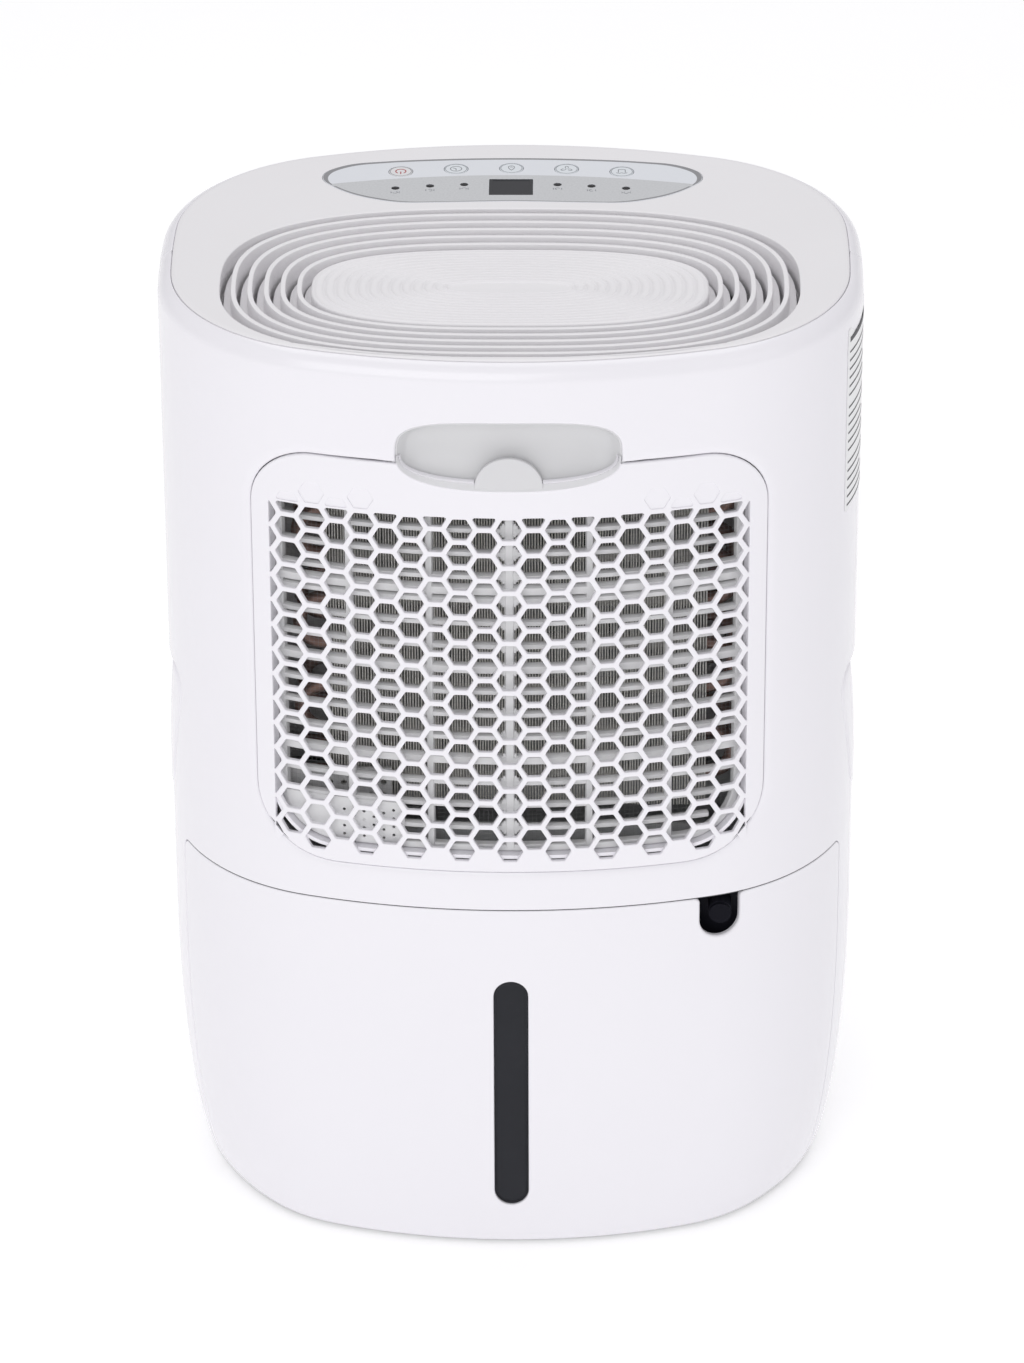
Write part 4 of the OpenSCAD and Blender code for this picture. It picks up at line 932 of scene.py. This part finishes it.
# ---------------------------------------------------------------- coils
FIN_HALF, FIN_T, EVAP_Y, COND_Y, COIL_LOW, ROWS, PITCH_Z = 96.0, 25.0, -93.0, -64.0, 234.0, 8, 24.0
FIN_TOP = COIL_LOW + ROWS * PITCH_Z
FIN_WALL, COLLAR_R, TUBE_R = 0.58, 3.9, 3.5
rng = np.random.default_rng(11)


def fins(name, y0, spacing, mat, node):
    parts = []
    for x in np.arange(-FIN_HALF + 8, FIN_HALF - 1, spacing):
        lean = rng.uniform(-0.12, 0.12)
        low = (x + lean, y0 + abs(lean) * 3, COIL_LOW)
        parts.append(block_rings(low, (x + lean + FIN_WALL, y0 + FIN_T, FIN_TOP)))
    bars(name, parts, mat, "housing", node)


def collars(name, y0, mat):
    """Sleeves of fin metal round the straight tubes."""
    t = np.arange(12) * pi / 6
    rings = [[[(x, y0 + FIN_T / 2 + COLLAR_R * cos(a), COIL_LOW + (row + 0.5) * PITCH_Z + COLLAR_R * sin(a))
               for a in t] for x in (-FIN_HALF + 7, FIN_HALF - 1)] for row in range(ROWS)]
    bars(name, rings, mat, "housing", None, smooth=True)


collars("evaporator_collars", EVAP_Y, "fin_dark")
collars("condenser_collars", COND_Y, "fin_bare")
fins("evaporator_fin_stack", EVAP_Y, 1.35, "fin_dark", "evaporator_fins")
fins("condenser_fin_stack", COND_Y, 1.8, "fin_bare", "condenser_fins")


def serpentine(y0):
    y, left_turn, right_turn = y0 + FIN_T / 2, -FIN_HALF - 6, FIN_HALF + 12
    pts = [(-FIN_HALF - 12, y, COIL_LOW + PITCH_Z / 2)]
    for i in range(ROWS - 1):
        x = right_turn if i % 2 == 0 else left_turn
        z = COIL_LOW + (i + 0.5) * PITCH_Z
        pts += [(x, y, z), (x, y, z + PITCH_Z)]
    return pts + [(-FIN_HALF - 12, y, FIN_TOP - PITCH_Z / 2)]


for coil, y0 in (("evaporator", EVAP_Y), ("condenser", COND_Y)):
    path_tube(f"{coil}_tube", serpentine(y0), PITCH_Z / 2 - 0.4, TUBE_R, "copper", "housing", f"{coil}_tubes")

# ---------------------------------------------------------------- top
SLOT_Y, SLOT_X, SLOT_D, SLOT_N = -36.1, 138.6, 81.9, 2.7
DISC_X, DISC_D = 94.0, 40.75


def slot_oval(hx, hy, n):
    return resample(oval(hx, hy, hy, SLOT_N, SLOT_N, 1440), n) + np.array([0, SLOT_Y])


def resample(loop, n):
    closed = np.vstack([loop, loop[:1]])
    run = np.concatenate([[0], np.cumsum(np.linalg.norm(np.diff(closed, axis=0), axis=1))])
    t = np.linspace(0, run[-1], n, endpoint=False)
    return np.stack([np.interp(t, run, closed[:, 0]), np.interp(t, run, closed[:, 1])], axis=1)


def full_plan(inset):
    s = np.linspace(-S_END, S_END, 120, endpoint=False)
    x, y = plan(s, inset)
    return np.vstack([np.column_stack([x, y]), np.column_stack([-x, -y])])


PANEL_SIDE = [(56.0, 52.3, 45.0), (80.5, 62.0, 50.0), (98.3, 84.0, 12.0), (82.0, 98.4, 32.0)]
PANEL_TOP, PANEL_LOW, PANEL_BOW = 105.4, 54.6, 1000.0


def panel_loop(by, by_low=None):
    """Crescent of the control panel, grown by one width at the back and tips and another along the front."""
    by_low = by if by_low is None else by_low
    side = [(x + by, y + (by if y > 75 else -by_low)) for x, y, _ in PANEL_SIDE]
    radii = [r for _, _, r in PANEL_SIDE]
    top = [(x, PANEL_TOP + by - x * x / PANEL_BOW) for x in np.linspace(58, -58, 13)]
    return rounded([(0, PANEL_LOW - by_low)] + side + top + [(-x, y) for x, y in side[::-1]],
                   [120] + radii + [0] * 13 + radii[::-1], 10)


plate_grid = (np.arange(-160, 161, 8.0), np.arange(-122, 123, 8.0))
panel("top_plate_face", flat(HEIGHT), edge(full_plan(6.8), 3.0, 0.8, 6), [
    edge(slot_oval(SLOT_X, SLOT_D, 220), 0.7, 0.6, 4), edge(panel_loop(0.15), 0.3)], 3.4, "top_white",
    "housing", "top_plate", plate_grid, keep=2.5)

RINGS = 5
STEP_X = (SLOT_X - 5.2 - DISC_X) / RINGS
STEP_Y = (SLOT_D - 4.0 - DISC_D) / RINGS
GRILLE_FLOOR, RING_N = HEIGHT - 15, 200


def ring_wall(name, hx, hy, thick, z1, foot, node=None):
    """One outlet ring: an upright wall with a flat crest, softened edges and a foot that reaches outward."""
    r, ankle = 0.45, z1 - 8.5
    offsets = [(0.0, GRILLE_FLOOR), (0.0, ankle - 1.4), (-foot, ankle - 1.4), (-foot, ankle - 0.3),
               (-0.3, ankle), (0.0, ankle + 0.5)]
    offsets += [(r - r * cos(pi * k / 8), z1 - r + r * sin(pi * k / 8)) for k in range(5)]
    offsets += [(thick - r + r * sin(pi * k / 8), z1 - r + r * cos(pi * k / 8)) for k in range(5)]
    offsets += [(thick, GRILLE_FLOOR)]
    rings = [with_third(slot_oval(hx - inset, hy - inset, RING_N), z) for inset, z in offsets]
    loft(name, rings, "top_white", "housing", node, closed=True)


for i in range(1, RINGS + 1):
    ring_wall(f"outlet_ring_{i}", DISC_X + i * STEP_X, DISC_D + i * STEP_Y, 2.4,
              HEIGHT - 0.5 - 0.44 * (RINGS - i), 3.6, "louvre_grille" if i == 1 else None)
ring_wall("outlet_flange", SLOT_X + 2.4, SLOT_D + 2.4, 2.0, HEIGHT - 3.5, 0.3)

# Middle disc with fine ripples
DISC_N, DISC_RINGS, DISC_EDGE = 192, 151, 1.2
RIPPLES, RIPPLE_STEPS, RIPPLE_X, RIPPLE_Y = 12, 144, 31.0, 7.0
base_z = HEIGHT - 2.8
disc_rings = []
for inset, below in [(0.0, 12.2), (0.0, 9.2), (-3.4, 9.2), (-3.4, 8.0), (0.0, 7.6), (0.0, 1.6), (0.15, 0.9),
                     (0.5, 0.45), (1.0, 0.2)]:
    loop = slot_oval(DISC_X + DISC_EDGE - inset, DISC_D + DISC_EDGE - inset, DISC_N)
    disc_rings.append(with_third(loop, base_z - below))
for k in range(DISC_RINGS):
    share = k / RIPPLE_STEPS
    hx, hy = DISC_X + (RIPPLE_X - DISC_X) * share, DISC_D + (RIPPLE_Y - DISC_D) * share
    ridge = (0.5 + 0.5 * cos(2 * pi * RIPPLES * share)) ** 3
    disc_rings.append(with_third(slot_oval(hx, hy, DISC_N), base_z - 1.1 + 1.0 * ridge))
loft("outlet_disc", disc_rings, "top_white", "housing", None)


def reach_along(d, hx, hy):
    """Distance from the middle of an oval to its edge in direction d."""
    return (abs(d[0] / hx) ** SLOT_N + abs(d[1] / hy) ** SLOT_N) ** (-1 / SLOT_N)


ribs = []
for k in range(8):
    a = pi / 4 * (k + 0.5)
    d = np.array([cos(a), sin(a)])
    p, q = d * reach_along(d, DISC_X - 1, DISC_D - 1), d * reach_along(d, SLOT_X + 0.5, SLOT_D + 0.5)
    side = np.array([-d[1], d[0]]) * 1.2
    corners = [p - side, q - side, q + side, p + side]
    ribs.append([[(c[0], c[1] + SLOT_Y, z) for c in corners] for z in (GRILLE_FLOOR, GRILLE_FLOOR + 4)])
bars("outlet_ribs", ribs, "top_white", "housing", None)

# ---------------------------------------------------------------- control panel
KEYS = [("power", -55.3, 89.3), ("timer", -28.0, 92.4), ("humidity", -0.6, 93.3), ("fan", 26.7, 92.4),
        ("laundry", 54.0, 89.3)]
LEDS = [(-57.5, 69.8), (-40.5, 72.4), (-23.7, 74.1), (22.3, 74.1), (39.0, 72.4), (56.0, 69.8)]
KEY_R, LED_R, LED_HOLE_R = 5.8, 1.95, 2.05
SHOW_LOW, SHOW_SIZE = (-11.4, 61.8), (21.6, 18.7)


def rect(x0, y0, x1, y1, r):
    return rounded([(x0, y0), (x1, y0), (x1, y1), (x0, y1)], [r] * 4, 4)


border = panel_loop(-2.0, -1.0)
BAND_Y, BAND_BOW = 85, 760.0
band_x = np.linspace(-95, 95, 96)
band = np.column_stack([band_x, BAND_Y - band_x ** 2 / BAND_BOW])


def film_paint(p):
    """Light above the band line, grey below it and dark in the border."""
    if not in_loops(np.array([p]), [border])[0]:
        return 2
    return 0 if p[1] > BAND_Y - p[0] ** 2 / BAND_BOW else 1


show = rect(SHOW_LOW[0], SHOW_LOW[1], SHOW_LOW[0] + SHOW_SIZE[0], SHOW_LOW[1] + SHOW_SIZE[1], 0.5)
film_holes = [edge(circle(x, y, KEY_R + 0.3, 48), 0.12, steps=1) for _, x, y in KEYS]
film_holes += [edge(circle(x, y, LED_HOLE_R, 24), 0.1, steps=1) for x, y in LEDS]
film_holes.append(edge(show, 0.12, steps=1))
panel("control_film", flat(HEIGHT), edge(panel_loop(0), 0.25), film_holes, 1.0, "film_light", "housing",
      "control_overlay", (np.arange(-96, 97, 3.0), np.arange(50, 107, 3.0)), keep=0.5,
      paint=film_paint, mats=("film_grey", "film_border"), lines=[split_long(border, 1.2), band])
backing_holes = [edge(circle(x, y, KEY_R + 0.4, 32), 0.1, steps=1) for _, x, y in KEYS]
panel("top_plate_backing", flat(HEIGHT - 1.1), edge(panel_loop(-0.3), 0.1), backing_holes, 2.0, "top_white",
      "housing", None)
panel("display_glass", flat(HEIGHT - 0.02), edge(grow(show, -0.1), 0.15), [
    edge(rect(-9.6, 63.6, 8.4, 78.7, 0.4), 0.1, 0.1, 2, floor=0.15)], 0.98, "smoked", "housing",
    "display_window")


DOME_N, DOME_EDGE = 40, 0.25


def dome(name, x, y, r, z, thick, bulge, mat, body, node):
    """Round cap with a softened edge and a slightly raised middle."""
    levels = [(r, z - thick)]
    for a in pi / 2 * np.arange(9) / 8:
        levels.append((r - DOME_EDGE * (1 - cos(a)), z - DOME_EDGE + DOME_EDGE * sin(a)))
    for k in range(1, 7):
        share = 1 - k / 6.5
        levels.append(((r - DOME_EDGE) * share, z + bulge * (1 - share * share)))
    rings = [with_third(circle(x, y, ring_r, DOME_N), ring_z) for ring_r, ring_z in levels]
    loft(name, rings, mat, body, node)


for i, (x, y) in enumerate(LEDS):
    dome(f"led_lens_{i + 1}", x, y, LED_R, HEIGHT - 0.05, 0.9, 0.15, "led", "housing",
         "led_lenses" if i == 0 else None)


def stroke(points, w):
    """Outline of a drawn line of one width, with its ends cut square."""
    p = np.asarray(points, float)
    d = np.gradient(p, axis=0)
    d /= np.linalg.norm(d, axis=1)[:, None]
    n = np.column_stack([-d[:, 1], d[:, 0]]) * w / 2
    return np.vstack([p - n, (p + n)[::-1]])


def arc_points(x, y, r, a0, a1, n=18):
    t = np.radians(np.linspace(a0, a1, n))
    return np.column_stack([x + r * np.cos(t), y + r * np.sin(t)])


def marks(name, x, y, z, strokes, mat, body, w):
    """Thin printed symbol, drawn with X and Y as read from the user side."""
    parts = []
    for line in strokes:
        loop = stroke(np.asarray(line, float) * [-1, -1] + [x, y], w)
        parts.append([[(u, v, h) for u, v in loop] for h in (z - 0.02, z + 0.035)])
    bars(name, parts, mat, body)


def blade(turn):
    t = np.linspace(0, 1, 10)
    a = np.radians(turn + 65 * t)
    r = 0.5 + 2.6 * np.sin(pi * (0.12 + 0.88 * t))
    return np.column_stack([r * np.cos(a), r * np.sin(a)])


round_turn, half_turn = np.linspace(0, 2 * pi, 25), np.linspace(0, pi, 25)
drop_shape = np.column_stack([2.0 * np.sin(round_turn) * np.sin(half_turn) ** 1.1, 2.6 * np.cos(round_turn)])
SYMBOLS = {
    "power": [arc_points(0, 0, 2.5, 125, 415), [(0, 0.4), (0, 1.6), (0, 3.1)]],
    "timer": [arc_points(0, 0, 2.8, 0, 360, 30), [(0, 2.0), (0, 1.0), (0, 0)],
              [(0, 0), (0.8, -0.5), (1.6, -1.0)]],
    "humidity": [drop_shape, [(-0.6, -0.9), (0, -1.2), (0.7, -0.9)]],
    "fan": [blade(0), blade(120), blade(240)],
    "laundry": [[(-2.8, 1.6), (-1.2, 2.2), (0, 1.6), (1.2, 2.2), (2.8, 1.6)],
                [(-1.7, 1.2), (-1.7, -0.5), (-1.7, -2.2)], [(-1.7, -2.2), (0, -2.2), (1.7, -2.2)],
                [(1.7, -2.2), (1.7, -0.5), (1.7, 1.2)]],
}
for key, x, y in KEYS:
    body = f"{key}_button"
    face = "power_key_face" if key == "power" else "key_face"
    dome(f"{key}_cap", x, y, KEY_R, HEIGHT, 2.0, 0.03, face, body, f"{key}_key")
    ink = "print_red" if key == "power" else "print_grey"
    key_ring = arc_points(0, 0, KEY_R - 0.55, 0, 360, 49)
    marks(f"{key}_ring", x, y, HEIGHT + 0.02, [key_ring], "print_grey", body, 0.3)
    marks(f"{key}_symbol", x, y, HEIGHT + 0.05, SYMBOLS[key], ink, body, 0.55 if key == "power" else 0.4)
for i, (x, y) in enumerate(LEDS):
    marks(f"led_mark_{i + 1}", x, y - 5.2, HEIGHT + 0.01,
          [arc_points(0, 0, 1.1, 20 + 60 * i, 250 + 60 * i, 10), [(-2.2, 0.9), (-1.8, 0), (-2.2, -0.9)],
           [(2.2, 0.9), (1.8, 0), (2.2, -0.9)]], "print_grey", "housing", 0.35)

# ---------------------------------------------------------------- side grips and label
GRIP_DEEP, GRIP_LEAD, GRIP_RAMP = 18.2, 14.0, 34.0
grip_plan = dense(rounded([(-GRIP_HALF_LOW, GRIP_LOW), (GRIP_HALF_LOW, GRIP_LOW), (GRIP_HALF_HIGH, GRIP_HIGH),
                           (-GRIP_HALF_HIGH, GRIP_HIGH)], [14, 14, 12, 12], 8), 4.0)
grip_middle = np.array([0.0, (GRIP_LOW + GRIP_HIGH) / 2])
grip_spread = GRIP_HALF_HIGH - GRIP_HALF_LOW
for side_sign, side_name in ((1, "right"), (-1, "left")):
    grip_rings = []
    for k in range(-1, 24):
        share = 1.04 if k < 0 else 0.994 * (1 - 0.95 * k / 23)
        loop = (grip_plan - grip_middle) * share + grip_middle
        behind = loop[:, 0] + GRIP_HALF_LOW + grip_spread * (loop[:, 1] - GRIP_LOW) / (GRIP_HIGH - GRIP_LOW)
        climb = np.clip((behind - GRIP_LEAD) / GRIP_RAMP, 0, 1)
        limit = 0.8 + GRIP_DEEP * climb * climb * (3 - 2 * climb)
        wall_part = GRIP_DEEP * sqrt(1 - min(1.0, share) ** 10)
        deep = np.full(len(loop), WALL + 0.2) if k < 0 else np.minimum(limit, 0.4 + wall_part)
        y_flat = np.abs(loop[:, 0])
        corner_x = corner_c[0] + np.sqrt(np.maximum(0, CORNER_R ** 2 - (y_flat + corner_c[1]) ** 2))
        x_out = np.where(y_flat > FLANK_EDGE, corner_x, flank_c[0] + np.sqrt(FLANK_R ** 2 - y_flat ** 2))
        grip_rings.append(np.column_stack([side_sign * (x_out - deep), loop[:, 0], loop[:, 1]]))
    grip = loft(f"side_grip_{side_name}", grip_rings, "casing_white", "housing",
                "side_grips" if side_sign > 0 else None, cap_first=False)
    if side_sign > 0:
        grip.data.flip_normals()
    thicken(grip)

LABEL_LOW, LABEL_HIGH, LABEL_OUT = 378, 476, 0.28
RULES, RULE_SPANS = 19, (0.94, 0.8, 0.9, 0.62, 0.86, 0.74)
label_s0, label_s1 = float(s_of_y(-61)), float(s_of_y(-19))
label_edge = edge(rect(label_s0, LABEL_LOW, label_s1, LABEL_HIGH, 2.0), 0.1, steps=1)
label_grid = (np.arange(label_s0 + 2, label_s1, 3.0), np.arange(LABEL_LOW + 2, LABEL_HIGH, 8.0))
panel("rating_label_film", sunk(shell, -LABEL_OUT), label_edge, [], 0.24, "label", "housing",
      "rating_label", label_grid)
rules = []
rule_z = 470.0
for i in range(RULES):
    s0 = label_s0 + 2.5
    s1 = s0 + (label_s1 - label_s0 - 5) * RULE_SPANS[i % 6]
    half = (2.6 if i == 0 else 1.0) / 2
    section_z, section_d = rule_z + half * np.array([-1, -1, 1, 1]), np.array([-0.34, -0.26, -0.26, -0.34])
    rules.append([at_arc(s, section_z, section_d) for s in np.linspace(s0, s1, 14)])
    rule_z -= 6.6 if i in (0, 6, 12) else 4.6
bars("rating_label_rules", rules, "print_dark", "housing", None)

# ---------------------------------------------------------------- CAD nodes that stay, with their finishes
slot_of = {row["node"]: row["material_slot"] for row in frame["record"]["subparts"]}
for name, obj in NODES.items():
    if obj.hide_render:
        continue
    finish = {"overlay": "film_grey"}.get(slot_of[name], slot_of[name])
    finish = "top_white" if name == "outlet_duct" else finish
    obj.data.materials.clear()
    obj.data.materials.append(MATERIALS[finish])

# ---------------------------------------------------------------- floor and light
floor_mat = material("floor_white", (0.95, 0.95, 0.95), 0.7, (0.945, 0.945, 0.945), 3, 0.02, 200, glow=0.26)
bpy.ops.mesh.primitive_plane_add(size=30, location=(0, 0, 0))
floor = bpy.context.object
floor.name = "floor"
floor.data.materials.append(floor_mat)

world = bpy.data.worlds.new("studio")
bpy.context.scene.world = world
world.use_nodes = True
backdrop = world.node_tree.nodes["Background"]
backdrop.inputs["Color"].default_value = (0.985, 0.98, 1.0, 1)
backdrop.inputs["Strength"].default_value = 0.57


def area_light(name, where, target, size, power):
    data = bpy.data.lights.new(name, "AREA")
    data.shape = "RECTANGLE"
    data.size, data.size_y = size
    data.energy = power
    obj = bpy.data.objects.new(name, data)
    obj.location = where
    obj.rotation_euler = (Vector(target) - Vector(where)).to_track_quat("-Z", "Y").to_euler()
    bpy.context.collection.objects.link(obj)


area_light("key", (-0.8, -2.9, 1.7), (0, 0, 0.25), (2.2, 2.2), 27)
area_light("fill", (1.9, -1.5, 1.4), (0, 0, 0.25), (1.6, 1.6), 3)
area_light("top", (0, 0.4, 2.8), (0, 0, 0.4), (2.4, 1.6), 18)
area_light("back", (0.4, 2.4, 1.6), (0, 0, 0.3), (2.2, 1.6), 1.5)
bpy.context.scene.view_settings.view_transform = "Standard"
